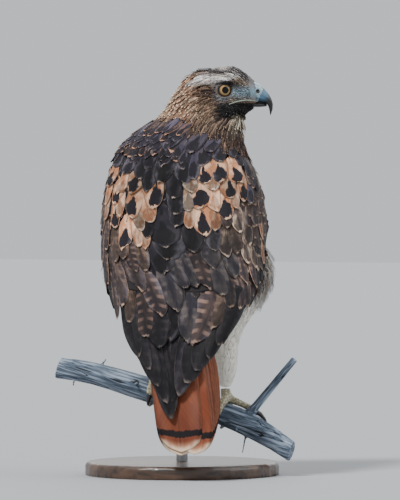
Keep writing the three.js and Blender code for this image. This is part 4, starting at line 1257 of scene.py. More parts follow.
# %% [markdown]
# ## The coats
# The smallest feathers, a few millimetres long, are on the face, and the longest hang on the belly.
# One coat for the whole bird would be simpler, but the sizes differ too much, so each area has its
# own, and the areas meet without a gap.

# %% Coats
def head_size(points):
    """Length and width in millimetres: 5 by 1.7 at the bill, 20 by 4.2 on the nape, short by the eye."""
    h = in_head(points)
    far = ease(-h[:, 0], -14, 40)
    top = ease(h[:, 2], 8, 14) * (1 - far)
    from_eye = np.stack([h[:, 0], np.abs(h[:, 1]), h[:, 2]], 1) - EYE_PLACE
    near_eye = 1 - ease(np.linalg.norm(from_eye, axis=1), 12, 19)
    return (5 + 15 * far + 4 * top) * (1 - 0.45 * near_eye), 1.7 + 2.5 * far + 0.4 * top


def leg_size(points):
    """21 by 5.6 millimetres on the legs, shorter under the tail, where the body ends in a point."""
    behind = ease(-points[:, 1], 50, 80)
    return 21 - 13 * behind, 5.6 - 2 * behind


def steady(length, width):
    """The same length and width for all."""
    return lambda points: (np.full(len(points), length), np.full(len(points), width))


def open_body(points):
    """Skin that no wing covers."""
    return (~covered(turn_of(points), points[:, 2], 0.16) | (points[:, 2] < 112)) & ~on_wing(points)


def above_mantle(points):
    """Neck and shoulders, but for what the mantle covers."""
    return (points[:, 2] > 240) & ~(covered(turn_of(points), points[:, 2], 0.25) & (points[:, 2] < 258))


def on_lores(h):
    """Between the eye and the bill."""
    return (h[:, 0] > 5) & (h[:, 2] < 6.5)


def on_cheek_or_crown(h):
    """The front of the head without the lores."""
    return (h[:, 0] > -14) & ~on_lores(h)


coat("lore_feathers", 1.5, 320000, lambda p: (p[:, 2] > 287) & on_lores(in_head(p)),
     head_size, (0.1, 1.6), (5, 3), "head_plumage", 0.2, streak=0.5, over=face_ground)
coat("face_feathers", 2.2, 260000, lambda p: (p[:, 2] > 287) & on_cheek_or_crown(in_head(p)),
     head_size, (0.2, 2.4), (6, 3), "head_plumage", 0.12, streak=0.5, over=face_ground)
coat("nape_feathers", 4.0, 200000, lambda p: above_mantle(p) & (in_head(p)[:, 0] <= -14),
     head_size, (1.6, 5.0), (7, 3), "head_plumage", 0.12, streak=0.4)
coat("throat_feathers", 3.6, 160000,
     lambda p: above_mantle(p) & (p[:, 2] <= 287) & (in_head(p)[:, 0] > -14),
     steady(17, 3.2), (0.8, 5.0), (7, 3), "head_plumage", 0.16, streak=0.55)
coat("breast_feathers", 4.6, 160000, lambda p: (p[:, 2] <= 244) & (p[:, 2] > 118) & open_body(p),
     steady(20, 7.6), (0.4, 2.4), (6, 5), "breast_plumage", 0.2, streak=0.15)
coat("flank_wisps", 5.0, 160000,
     lambda p: (np.abs(p[:, 0] - 4) > 54) & (p[:, 2] > 98) & (p[:, 2] < 156) & open_body(p),
     steady(18, 0.9), (0.4, 8.0), (6, 3), "breast_plumage", 0.7, "wisp")
coat("leg_feathers", 3.6, 160000, lambda p: (p[:, 2] <= 118) & open_body(p),
     leg_size, (0.3, 0.9), (5, 3), "breast_plumage", 0.14, streak=0.06)
coat("wing_rim_feathers", 4.6, 160000, lambda p: on_wing(p) & ~covered(turn_of(p), p[:, 2], 0.12),
     steady(13, 8), (0.2, 0.8), (5, 5), "wing_plumage", 0.06, "shoulder")

# %% [markdown]
# ## Feathers of the cloak
# Mantle, scapulars and wing coverts lie in staggered rows down the cloak, growing longer and
# broader from the shoulders to the wing tips. Each vane runs from a root to a tip on the cloak's
# map of distance round and height, so it bends with the back.

# %% Cloak feather functions
def cloak_blades(roots, tips, widths, lifts, grid, fullness=4.0, camber=0.06, wear=0.035):
    """Vanes between roots and tips, each (round, height): root + v (tip - root) + t w n, raised by
    lift(v) - camber w t^2 + roll t v. Wear adds slow waves along the rim and the tip, that share of
    the width high, as on moulting feathers."""
    n = len(roots)
    roots, tips = np.asarray(roots, float), np.asarray(tips, float)
    widths, lifts = np.asarray(widths, float), np.asarray(lifts, float)
    length = np.linalg.norm(tips - roots, axis=1)
    axis = (tips - roots) / length[:, None]
    normal = np.stack([-axis[:, 1], axis[:, 0]], 1)
    roll = chance.uniform(-0.5, 0.5, n)
    full = (fullness * chance.uniform(0.75, 1.3, n))[:, None, None]
    phase = chance.uniform(0, 2 * np.pi, (4, n, 1, 1))
    skew = chance.normal(0, 0.06, n)[:, None, None] * widths[:, None, None]

    def place(v, t):
        wavy = 1 + wear * (np.sin(8 * v + 2 * t + phase[0]) + 0.7 * np.sin(17 * v - 3 * t + phase[1]))
        wide = vane_width(v, full) * (widths / 2)[:, None, None] * t * wavy
        worn = wear * widths[:, None, None] * (np.sin(5 * t + phase[2]) + 0.8 * np.sin(11 * t + phase[3]))
        run = v * length[:, None, None] + (0.5 * worn + skew * t) * ease(v, 0.55, 1)
        round_way = roots[:, 0, None, None] + run * axis[:, 0, None, None] + wide * normal[:, 0, None, None]
        height = roots[:, 1, None, None] + run * axis[:, 1, None, None] + wide * normal[:, 1, None, None]
        out = cloak_direction(round_way, height)
        lift = lifts[:, 0, None, None] + (lifts[:, 1] - lifts[:, 0])[:, None, None] * v
        lift = lift - camber * widths[:, None, None] * t**2 + roll[:, None, None] * t * v
        return on_cloak(round_way, height) + out * lift[..., None], out

    return *blades(place, *grid, BROAD_VANE), length


def cloak_piece(name, roots, tips, widths, lifts, kinds, grid, material, nodes=(), shifts=None, **shape):
    """A coat piece of cloak vanes, whose bake map gives every vane a tile of its own."""
    points, shares, length = cloak_blades(roots, tips, widths, lifts, grid, **shape)
    corner, patch = tiles(len(kinds))
    looks = kind_looks(kinds, np.stack([length, np.asarray(widths)], 1) * MM, shifts)
    return make_vanes(name, points, shares, corner, patch, *grid, looks, material, "wing_plumage", nodes)


# %% [markdown]
# ## Filling rows
# Under the feathers that are set one by one, staggered rows fill every side evenly, like slates on a
# roof. The kind of each one depends on where its tip falls, with some chance.

# %% Filling rows
def row_kinds(tips):
    """The kind of each filling feather, from its tip's place round and up."""
    side, height = tips[:, 0], tips[:, 1]
    luck = chance.random(len(tips))
    kinds = np.where(luck < 0.45, "grey", "barred").astype(object)
    kinds[height > 226] = "dark"
    kinds[height > 248] = "mantle"
    kinds[(height > 196) & (chance.random(len(tips)) < 0.14 + 0.36 * ease(height, 236, 258))] = "tipped"
    patch = ((side > 14) & (side < 84)) | ((side < -38) & (side > -92))
    kinds[patch & (height > 150) & (height < 228)] = "scapular"
    kinds[(side > -38) & (side < 14) & (height > 112) & (height < 240)] = "dark"
    kinds[height < 96] = "flight"
    kinds[(side > 66) & (height < 200) & (luck > 0.4)] = "edged"
    kinds[(side > 78) & (height < 205) & (height > 120) & (luck > 0.3)] = "streaked"
    kinds[(np.abs(side) > 92) & (height > 150)] = "shoulder"
    return kinds


def filling_rows():
    """Roots, tips, widths and kinds of the staggered rows from the shoulders down to the wing tips."""
    roots, tips, widths = [], [], []
    level, row = 290.0, 0
    while level > 102:
        down = 290 - level
        length, width = 16 + 0.2 * down, 11 + 0.1 * down
        step = 0.58 * width
        sides = np.arange(-220, 220, step) + (row % 2) * step / 2
        sides = sides + chance.normal(0, 0.12 * step, len(sides))
        levels = level + chance.normal(0, 1.5, len(sides))
        angle = cloak_angle(sides, levels)
        keep = (np.abs(angle) < edge_turn(levels) - 0.06) & (levels < 288 - 36 * ease(sides, 4, 40))
        keep &= levels > 102 + 26 * ease(np.abs(sides), 40, 75)
        sides, levels, angle = sides[keep], levels[keep], angle[keep]
        spin = -np.sign(angle) * (0.12 * ease(down, 60, 130) + 0.35 * ease(np.abs(angle), 0.7, 1.6)) * length
        spin = spin * ease(down, 20, 60)
        roots.append(np.stack([sides, levels], 1))
        tips.append(np.stack([sides + spin, levels - length], 1))
        widths.append(np.full(len(sides), width))
        level -= 5.5 + 0.042 * down
        row += 1
    return np.concatenate(roots), np.concatenate(tips), np.concatenate(widths)


row_roots, row_tips, row_widths = filling_rows()
row_lifts = np.tile([-2.3, 0.4], (len(row_roots), 1))
row_lifts[row_roots[:, 1] > 262] += [0.0, 0.6]
seen = (row_tips[:, 0] > -96) & (row_tips[:, 0] < 104) & (row_tips[:, 1] < 238)
row_lifts[seen] -= [0.6, 2.2]
cloak_piece("back_rows", row_roots, row_tips, row_widths, row_lifts, row_kinds(row_tips), (9, 7),
            covert_material)

# %% [markdown]
# ## The feathers seen in the picture
# The broad scapulars and coverts of the back are placed one by one. The tip of each one is carried
# along the view onto the cloak, so that the feather also sits right from the sides.

# %% Feathers placed one by one
# Kind, pixel of the tip, lean in degrees, length and width in millimetres, shift of the dark centre.
BACK_FEATHERS = [
    ("dark", 150, 150, -6, 32, 22), ("tipped", 170, 152, 2, 32, 22), ("dark", 192, 153, 8, 32, 22),
    ("dark", 132, 158, -22, 32, 20), ("dark", 212, 152, 14, 22, 19), ("dark", 236, 156, 26, 20, 16),
    ("dark", 221, 162, 22, 26, 22), ("dark", 243, 165, 30, 26, 17), ("dark", 203, 166, 12, 32, 23),
    ("dark", 145, 168, -10, 34, 24), ("dark", 163, 166, -2, 36, 25), ("dark", 183, 170, 4, 36, 25),
    ("dark", 113, 165, -40, 30, 18), ("dark", 124, 174, -32, 30, 18), ("dark", 140, 180, -10, 36, 22),
    ("black", 184, 184, 4, 40, 25), ("black", 160, 183, -3, 40, 27), ("dark", 194, 180, 6, 34, 20),
    ("scapular", 222, 182, 24, 30, 22), ("scapular", 240, 183, 28, 32, 24),
    ("scapular", 207, 184, 18, 28, 20), ("scapular", 231, 199, 16, 32, 23),
    ("scapular", 244, 202, 8, 34, 17), ("scapular", 201, 209, 0, 40, 28),
    ("scapular", 227, 220, 2, 40, 23), ("scapular", 204, 236, -4, 44, 26),
    ("cream", 213, 191, 10, 28, 18), ("cream", 191, 193, 4, 28, 18), ("buff", 216, 212, 4, 34, 19),
    ("cream", 189, 212, 2, 34, 18), ("buff", 189, 229, -2, 36, 18), ("buff", 216, 231, -4, 34, 15),
    ("buff", 236, 209, 8, 32, 16), ("black", 174, 199, 0, 34, 22), ("black", 176, 215, 0, 40, 25),
    ("black", 177, 227, -2, 36, 24), ("black", 167, 248, -3, 48, 41), ("black", 168, 260, -3, 48, 44),
    ("black", 166, 273, 0, 46, 37), ("scapular", 155, 209, 8, 46, 26, 0.35),
    ("black", 192, 252, -10, 44, 27), ("black", 148, 192, 0, 36, 20),
    ("scapular", 108, 186, -24, 30, 18), ("scapular", 130, 193, -20, 34, 24),
    ("scapular", 114, 204, -26, 32, 19), ("scapular", 131, 218, -8, 40, 24),
    ("scapular", 115, 228, -4, 34, 17), ("scapular", 124, 249, -6, 40, 21),
    ("buff", 151, 223, 8, 34, 21), ("cream", 141, 231, 2, 36, 20), ("buff", 140, 247, -2, 40, 21),
    ("buff", 147, 249, 4, 32, 14), ("buff", 120, 217, -6, 36, 17), ("buff", 119, 194, -20, 30, 15),
    ("buff", 106, 205, -12, 30, 15), ("black", 149, 238, 2, 38, 20), ("buff", 106, 220, -6, 32, 14),
    ("shoulder", 101, 196, -10, 30, 14), ("edged", 103, 231, -2, 36, 14),
    ("edged", 107, 250, 0, 38, 14), ("edged", 103, 262, 2, 40, 14), ("edged", 109, 284, 4, 46, 16),
    ("brown", 116, 262, 0, 40, 18), ("brown", 125, 259, -2, 36, 20), ("barred", 136, 271, 4, 38, 20),
    ("brown", 147, 271, 8, 38, 18), ("edged", 140, 289, 4, 46, 26), ("edged", 124, 306, 2, 56, 22),
    ("edged", 118, 319, 6, 50, 17), ("barred", 160, 314, 12, 56, 30), ("grey", 176, 310, 0, 58, 31),
    ("barred", 146, 336, 12, 56, 30), ("flight", 162, 346, 8, 54, 30), ("grey", 186, 340, 6, 52, 26),
    ("brown", 130, 322, 10, 50, 22), ("barred", 208, 288, -4, 56, 29), ("grey", 223, 295, -3, 54, 27),
    ("edged", 231, 307, -2, 46, 21), ("edged", 240, 308, -1, 46, 17), ("edged", 247, 306, -1, 46, 14),
    ("grey", 198, 286, 20, 44, 22), ("grey", 186, 288, 10, 44, 24), ("barred", 196, 342, -16, 68, 36),
    ("brown", 214, 327, -20, 52, 32), ("flight", 222, 343, -6, 50, 31), ("brown", 228, 228, 2, 32, 18),
    ("streaked", 240, 233, 4, 34, 18), ("brown", 238, 253, 2, 38, 20), ("grey", 214, 251, -2, 38, 22),
    ("streaked", 226, 257, 0, 40, 20), ("grey", 212, 268, -2, 44, 24), ("grey", 236, 277, 0, 42, 21),
    ("streaked", 250, 245, 4, 36, 16), ("streaked", 248, 264, 2, 40, 15),
    ("edged", 246, 284, 0, 42, 16), ("streaked", 256, 268, 2, 42, 14), ("edged", 256, 288, 0, 44, 14),
    ("buff", 263, 264, 2, 40, 10), ("buff", 262, 240, 2, 34, 9), ("edged", 256, 226, 6, 32, 14),
    ("edged", 262, 214, 6, 30, 12), ("dark", 251, 204, 6, 30, 15), ("dark", 258, 191, 8, 28, 13),
    ("dark", 251, 177, 22, 30, 15),
]


def by_eye(rows):
    """Roots and tips on the cloak from tip pixels, leans and lengths."""
    tips = on_back([r[1:3] for r in rows])
    lean = np.radians([r[3] for r in rows] + chance.normal(0, 4, len(rows)))
    back = np.stack([-np.sin(lean), np.cos(lean)], 1) * np.array([[r[4]] for r in rows])
    return tips + back, tips


eye_roots, eye_tips = by_eye(BACK_FEATHERS)
order = np.argsort(np.argsort([r[2] for r in BACK_FEATHERS])) / len(BACK_FEATHERS)
eye_lifts = np.stack([-2.0 - 2.6 * (order < 0.12), 1.9 - 0.7 * order - 0.9 * (order < 0.12)], 1)
eye_shifts = [r[6] if len(r) > 6 else chance.normal(0, 0.08) for r in BACK_FEATHERS]
cloak_piece("back_feathers", eye_roots, eye_tips, [r[5] for r in BACK_FEATHERS], eye_lifts,
            [r[0] for r in BACK_FEATHERS], (17, 9), covert_material, shifts=eye_shifts)

# %% [markdown]
# ## Flight feathers
# The folded secondaries lie like a closed fan, and the long primaries cross over the tail to blunt
# tips. They are the stiffest feathers, nearly black with thin worn edges. Each one is given by the
# pixels of its root and its tip, and the longest lie deepest.

# %% Flight feathers
# Pixel of the root, pixel of the tip, width in millimetres and height over the cloak.
FLIGHT_FEATHERS = [
    (122, 290, 141, 354, 28, 0.6), (128, 296, 149, 368, 29, 0.0), (133, 300, 157, 384, 30, -1.0),
    (139, 302, 165, 400, 30, -2.4), (147, 302, 171, 416, 29, -3.8), (155, 302, 173, 408, 28, -5.0),
    (240, 286, 219, 344, 30, 1.0), (233, 290, 208, 357, 32, 0.4), (226, 294, 197, 369, 34, -0.4),
    (216, 296, 186, 381, 33, -1.8), (206, 300, 177, 392, 31, -3.2), (196, 302, 169, 401, 29, -4.4),
]


def flight_places(rows):
    """Roots and tips on the cloak from pixels."""
    table = np.array(rows, float)
    return on_back(table[:, 0:2]), on_back(table[:, 2:4])


flight_roots, flight_tips = flight_places(FLIGHT_FEATHERS)
flight_lifts = np.array([[r[5] - 1.0, r[5]] for r in FLIGHT_FEATHERS])
cloak_piece("flight_feathers", flight_roots, flight_tips, [r[4] for r in FLIGHT_FEATHERS], flight_lifts,
            ["flight"] * len(FLIGHT_FEATHERS), (29, 11), flight_material, WINGS, fullness=2.6, camber=0.04,
            wear=0.015)

# %% [markdown]
# ## Tail
# Twelve broad rectrices lie over each other like a hand of cards, the middle pair on top. They
# could be cut from one sheet, but separate vanes give the small steps and shadows of a real tail.

# %% Tail feathers
TAIL_TOP = 90.0
TAIL_COUNT = 12
# Millimetres that each feather lies below the one before.
TAIL_STEP = 1.04
# Height of each feather's tip, from the middle one out.
LEFT_TIPS = (-58, -61, -59, -56, -51, -45)
RIGHT_TIPS = (-60, -58, -54, -50, -45, -39)
tail_normal = np.array([0, -1, 0.297])


def on_tail(offset, height, depth):
    """A place of the tail: along its sloping axis, offset sideways, sunk by depth and a slight arch."""
    x = LEAN * (height - LEAN_PIVOT) + 0.098 * (95 - height) + offset
    y = -94 - 0.297 * (40 - height)
    sink = depth + 2.2 * (offset / 36) ** 2
    return np.stack([x, y + 0 * x, height], -1) - tail_normal * sink[..., None]


def tail_feathers(rows, columns):
    """Points of the twelve rectrices, from the middle pair out and down."""
    table = []
    for i in range(6):
        right_root = 4 + 2.6 * min(i, 2) + 0.8 * i
        table.append((-1 - 2 * i, -1.4 - 1.4 * i, LEFT_TIPS[i], 51 - 2 * i, 0, TAIL_STEP * 2 * i))
        table.append((right_root, 12.5 + 1.1 * i, RIGHT_TIPS[i], 44 - i, 3 + i, TAIL_STEP * (2 * i + 1)))
    root, tip, low, width, bow, depth = np.array(table, float).T[..., None, None]

    def place(v, t):
        height = TAIL_TOP + (low - TAIL_TOP) * v
        offset = root + (tip - root) * v + bow * np.sin(np.pi * v)
        wide = vane_width(v, 14.0) * width / 2 * t
        sunk = depth + 1.2 * t**2 * (0.4 + 0.6 * v) - 0.4 * v
        points = on_tail(offset + wide, height + 1.5 * np.abs(t) ** 2 * ease(v, 0.8, 1), sunk)
        return points, np.broadcast_to(unit(tail_normal), points.shape)

    points, shares = blades(place, rows, columns, TAIL_VANE)
    length = (TAIL_TOP - low)[:, 0, 0]
    return points, shares, np.stack([length, width[:, 0, 0]], 1) * MM


# %% [markdown]
# ## Tail colours
# The tail is brick red above with a black band before the pale tip, the species' mark, and a thin
# dark shaft. The marks are set by their distance from the tip, so they line up across the fan.

# %% Tail colours and piece
def tail_material():
    """Brick red keratin, smoother than the back: pale at the very tip, black from 14 to 21 mm."""
    material = vane_material("tail_keratin", bars=0.0, barb=1.6, roughness=0.55, relief=0.4, painted_sheen=0.1)
    tree = material.node_tree
    do = partial(wire, tree)
    shader = tree.nodes["Principled BSDF"]
    colour = shader.inputs["Base Color"].links[0].from_socket
    place = add(tree, "ShaderNodeUVMap", uv_map="Vane").outputs[0]
    split = add(tree, "ShaderNodeSeparateXYZ", {0: place})
    across = do("ABSOLUTE", do("MULTIPLY_ADD", split.outputs[0], 2.0, -1.0))
    measure = add(tree, "ShaderNodeAttribute", attribute_name="measure")
    sizes = add(tree, "ShaderNodeSeparateColor", {0: measure.outputs["Color"]})
    left = do("MULTIPLY", do("SUBTRACT", 1.0, split.outputs[1]), sizes.outputs[0])
    noise = do("noise", do("join", across, split.outputs[1], sizes.outputs[2]), 9.0, 3.0)
    left = do("MULTIPLY_ADD", do("SUBTRACT", noise, 0.5), 5 * MM, left)
    left = do("MULTIPLY_ADD", across, -3 * MM, left)
    band = do("MULTIPLY", do("ease", left, 13.8 * MM, 14.8 * MM),
              do("SUBTRACT", 1.0, do("ease", left, 20.5 * MM, 22 * MM)))
    pale = do("SUBTRACT", 1.0, do("ease", left, 0.5 * MM, 11.5 * MM))
    colour = do("mix", do("MULTIPLY", pale, 0.62), colour, paint("d9a98a"))
    rim = do("SUBTRACT", 1.0, do("ease", left, 0.0, 6 * MM))
    sides = do("MULTIPLY", do("ease", across, 0.55, 1.0),
               do("SUBTRACT", 1.0, do("ease", left, 6 * MM, 12 * MM)))
    rim = do("MAXIMUM", rim, sides)
    colour = do("mix", do("MULTIPLY", rim, 0.9), colour, paint("e6cdb2"))
    colour = do("mix", do("MULTIPLY", band, 0.98), colour, paint("06050b"))
    set_inputs(tree, shader, {"Base Color": colour})
    return material


TAIL_GRID = (29, 11)
tail_points, tail_shares, tail_sizes = tail_feathers(*TAIL_GRID)
tail_corner, tail_patch = tiles(TAIL_COUNT)
tail_colours = [np.tile(linear(text), (TAIL_COUNT, 1)) for text in ("6b331d", "945534", "502415")]
tail_strengths = np.tile([0.05, 0.35], (TAIL_COUNT, 1))
tail_marks = np.tile([0.0, 0.35, 0.0, 0.0], (TAIL_COUNT, 1))
tail_looks = spread_looks(tail_colours, tail_strengths, tail_marks, tail_sizes, 0.06)
make_vanes("tail_feathers", tail_points, tail_shares, tail_corner, tail_patch, *TAIL_GRID,
           tail_looks, tail_material(), "tail_plumage", ["tail"])

# %% [markdown]
# ## Hard parts
# Bill, cere, feet and wood start from the solids' own sizes. Where a solid is already the right
# form it is melted on a fine grid and smoothed, which rounds its facets and leaves its size alone.

# %% Melted copies
def round_copy(name, nodes, grid, passes, material, grow=0.0):
    """Solids melted on a fine grid, smoothed, swollen by grow millimetres, and put in their place."""
    whole = bmesh.new()
    for node in nodes:
        whole.from_mesh(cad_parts[node].data)
    bmesh.ops.remove_doubles(whole, verts=whole.verts, dist=1e-6)
    source = bpy.data.meshes.new(name + "_source")
    whole.to_mesh(source)
    whole.free()
    mesh = melted(source, grid)
    edges = numbers(mesh.edges, "vertices", 2, np.int32)
    points = relaxed(millimetres(numbers(mesh.vertices, "co", 3)), edges, passes)
    points = points + grow * normals_of(mesh)
    mesh.vertices.foreach_set("co", metres(points).astype(np.float32).ravel())
    mesh.polygons.foreach_set("use_smooth", np.ones(len(mesh.polygons), bool))
    mesh.update()
    mesh.name = name
    return dress(bpy.data.objects.new(name, mesh), material, nodes)


# %% [markdown]
# ## Horn and skin
# Two materials serve all the bare hard parts. Horn darkens evenly towards the point; skin, claws,
# lids and metal have two close tones in soft spots, and the feet have small plates as well.

# %% Horn and spotted materials
def horn_material(name, base, tip, roughness, start, stop):
    """Polished horn, smooth and a little glassy, that darkens from start to stop, in millimetres along
    a line that points forward and down."""
    material, tree, shader = new_material(name)
    do = partial(wire, tree)
    place = add(tree, "ShaderNodeTexCoord").outputs["Object"]
    away = do("away", place, tuple(metres(HEAD_CENTRE)))
    run = do("dot", away, tuple(0.75 * head_forward - [0, 0, 0.65]))
    noise = do("noise", place, 0.24 / MM, 4.0)
    run = do("MULTIPLY_ADD", do("SUBTRACT", noise, 0.5), 4 * MM, run)
    share = do("ease", run, start * MM, stop * MM)
    colour = do("mix", share, paint(base), paint(tip))
    tone = do("MULTIPLY_ADD", noise, 0.35, 0.82)
    set_inputs(tree, shader, {
        "Base Color": do("tint", 1.0, colour, tone), "Roughness": roughness, "Coat Weight": 0.25,
        "Normal": do("bump", noise, 0.2 * MM, 0.4)})
    return material


def spotted_material(name, first, second, roughness, scale, depth, clear=0.0, plates=0.0):
    """Two close tones in soft spots, with a relief of the same spots. scale: spots to a millimetre;
    depth: relief in millimetres; clear: a glossy film; plates: scales to a millimetre, 0 for none."""
    material, tree, shader = new_material(name)
    do = partial(wire, tree)
    place = add(tree, "ShaderNodeTexCoord").outputs["Object"]
    height = do("noise", place, scale / MM, 5.0)
    colour = do("mix", do("ease", height, 0.35, 0.65), paint(first), paint(second))
    if plates:
        cells = add(tree, "ShaderNodeTexVoronoi", {"Vector": place, "Scale": plates / MM},
                    feature="DISTANCE_TO_EDGE")
        plate = do("ease", cells.outputs[0], 0.0, 0.16)
        colour = do("tint", 1.0, colour, do("MULTIPLY_ADD", plate, 0.5, 0.5))
        height = do("MULTIPLY_ADD", plate, 1.2, height)
    set_inputs(tree, shader, {
        "Base Color": colour, "Roughness": roughness, "Coat Weight": clear,
        "Normal": do("bump", height, depth * MM, 0.6)})
    return material


# %% [markdown]
# ## Bill and cere
# The hooked bill is horn, blue-grey at the base and nearly black at the point. The cere over its
# root is bare waxy skin with the nostrils in it.

# %% Bill and cere
NOSTRIL = np.array([34.4, 8.6, -1.4])


def cere_material():
    """Waxy skin in two close tones, with painted shade, near black, in the two nostril holes."""
    material = spotted_material("cere_skin", "5f7c8a", "97aeb7", 0.38, 0.3, 0.2, 0.3)
    tree = material.node_tree
    do = partial(wire, tree)
    shader = tree.nodes["Principled BSDF"]
    colour = shader.inputs["Base Color"].links[0].from_socket
    place = add(tree, "ShaderNodeTexCoord").outputs["Object"]
    # Painted shade: each nostril hole is painted near black, as the shade inside it.
    for sign in (1, -1):
        hole = tuple(metres(from_head(NOSTRIL * [1, sign, 1])))
        inside = do("SUBTRACT", 1.0, do("ease", do("gap", place, hole), 2.0 * MM, 2.8 * MM))
        colour = do("mix", inside, colour, paint("08090a"))
    set_inputs(tree, shader, {"Base Color": colour})
    return material


bill_horn = horn_material("bill_horn", "42667f", "0b0c0f", 0.28, 34.5, 42)
lower_horn = horn_material("lower_bill_horn", "2b343b", "0a0b0d", 0.35, 18, 30)
round_copy("upper_bill", ["bill_upper"], 0.5, 5, bill_horn, 0.1)
round_copy("lower_bill", ["bill_lower"], 0.5, 5, lower_horn, 0.5)
round_copy("bill_cere", ["cere"], 0.6, 5, cere_material())

# %% [markdown]
# ## Mouth and gape
# Between the closed halves of the bill lies a dark line of shade, and from its corner the yellowish gape
# runs back under the eye. A filling of painted shade, nearly black, and a thin fleshy cord on each side
# show both without cutting the bill open.

# %% Mouth and gape
mouth_run = np.linspace(18, 43.5, 24)
mouth_turn = 2 * np.pi * np.arange(16) / 16
mouth_wide = np.interp(mouth_run, [18, 30, 40, 43.5], [9.5, 7.2, 4.0, 1.2])
mouth_level = np.interp(mouth_run, [18, 31, 37, 41, 43.5], [-12.2, -12.7, -13.2, -14.2, -15.2])
mouth_rings = np.stack([
    mouth_run[:, None] + 0 * mouth_turn[None], mouth_wide[:, None] * np.cos(mouth_turn),
    mouth_level[:, None] + 1.3 * np.sin(mouth_turn)], -1)
mouth_points, mouth_groups = capped(from_head(mouth_rings))
# Painted shade: a dull, nearly black filling, so that the line between the bill's halves reads as deep.
painted_mouth_shadow = spotted_material("painted_mouth_shadow", "0a0808", "171112", 0.6, 0.5, 0.2)
make_piece("painted_mouth_shadow", mouth_points, mouth_groups, painted_mouth_shadow)

# Forward, left and up along the left corner of the mouth.
GAPE = [(1, 26.9, -16.2), (5, 26.4, -14.7), (12, 23.9, -12.2), (20, 19.4, -10.8), (28, 14.4, -11),
        (35, 10, -12.4)]
# Gape skin: soft and slightly moist, pale between the dark cheek and the bill.
gape_skin = spotted_material("gape_skin", "6f7a72", "97a194", 0.5, 0.5, 0.2, 0.2)
for name, sign in (("left", 1), ("right", -1)):
    steps = np.linspace(0, 1, 40)
    path = np.stack([np.interp(steps, np.linspace(0, 1, len(GAPE)), c) for c in np.array(GAPE, float).T], 1)
    path = np.stack([np.convolve(np.pad(c, 3, "edge"), np.ones(7) / 7, "valid") for c in path.T], 1)
    thick = 0.2 + 0.4 * np.sin(np.pi * steps) ** 0.5
    gape_points, gape_groups = capped(tube(from_head(path * [1, sign, 1]), thick, 12))
    make_piece("gape_" + name, gape_points, gape_groups, gape_skin)

# %% [markdown]
# ## Eye material
# The eye is a wet ball with a golden iris round a wide black pupil and a dark rim. Its own map
# gives the angle from the gaze, so iris and pupil are round wherever the bird looks.

# %% Eye material
EYE_RADIUS = 10.0
IRIS_ANGLE = np.radians(39)


def eye_material():
    """Wet eye, glossy as glass. The map's second number is the angle from the gaze: pupil, iris, white."""
    material, tree, shader = new_material("wet_eye")
    do = partial(wire, tree)
    place = add(tree, "ShaderNodeUVMap", uv_map="Gaze").outputs[0]
    split = add(tree, "ShaderNodeSeparateXYZ", {0: place})
    angle = split.outputs[1]
    spokes = do("join", do("MULTIPLY", do("SINE", split.outputs[0]), 6.0),
                do("MULTIPLY", do("COSINE", split.outputs[0]), 6.0), do("MULTIPLY", angle, 1.5))
    colour = do("mix", do("noise", spokes, 2.2, 4.0), paint("94744a"), paint("b99a6a"))
    rim = do("ease", angle, IRIS_ANGLE * 0.7, IRIS_ANGLE)
    colour = do("mix", rim, colour, paint("4a3318"))
    white = do("ease", angle, IRIS_ANGLE, IRIS_ANGLE * 1.05)
    colour = do("mix", white, colour, paint("120e0d"))
    pupil = do("SUBTRACT", 1.0, do("ease", angle, IRIS_ANGLE * 0.53, IRIS_ANGLE * 0.57))
    colour = do("mix", pupil, colour, paint("040404"))
    set_inputs(tree, shader, {
        "Base Color": colour, "Roughness": 0.12, "Specular IOR Level": 0.15, "Coat Weight": 0.25,
        "Coat Roughness": 0.02})
    return material


# %% [markdown]
# ## Eyes and lids
# The ball is turned about its gaze with a slight bulge for the cornea, and a thin dark lid is
# turned round it, drooping at the top, as glass eyes are set in clay lids.

# %% Eyes and lids
def eye_frame(sign):
    """Centre of an eye and its gaze, up and side directions, in the bird's millimetres."""
    place = from_head(EYE_PLACE * [1, sign, 1])
    gaze = np.sin(EYE_TURN) * head_forward + np.cos(EYE_TURN) * sign * head_left
    up = np.array([0, 0, 1.0])
    return place, gaze, up, np.cross(up, gaze)


def turned(profile, centre, axis, up, side, segments):
    """A profile of (out, along) pairs turned about an axis."""
    a = 2 * np.pi * np.arange(segments) / segments
    spoke = up * np.cos(a)[:, None] + side * np.sin(a)[:, None]
    profile = np.asarray(profile, float)
    rings = profile[:, None, :1] * spoke[None] + profile[:, None, 1:] * axis
    return centre + rings


EYE_SEGMENTS, LID_SEGMENTS = 48, 21
wet_eye = eye_material()
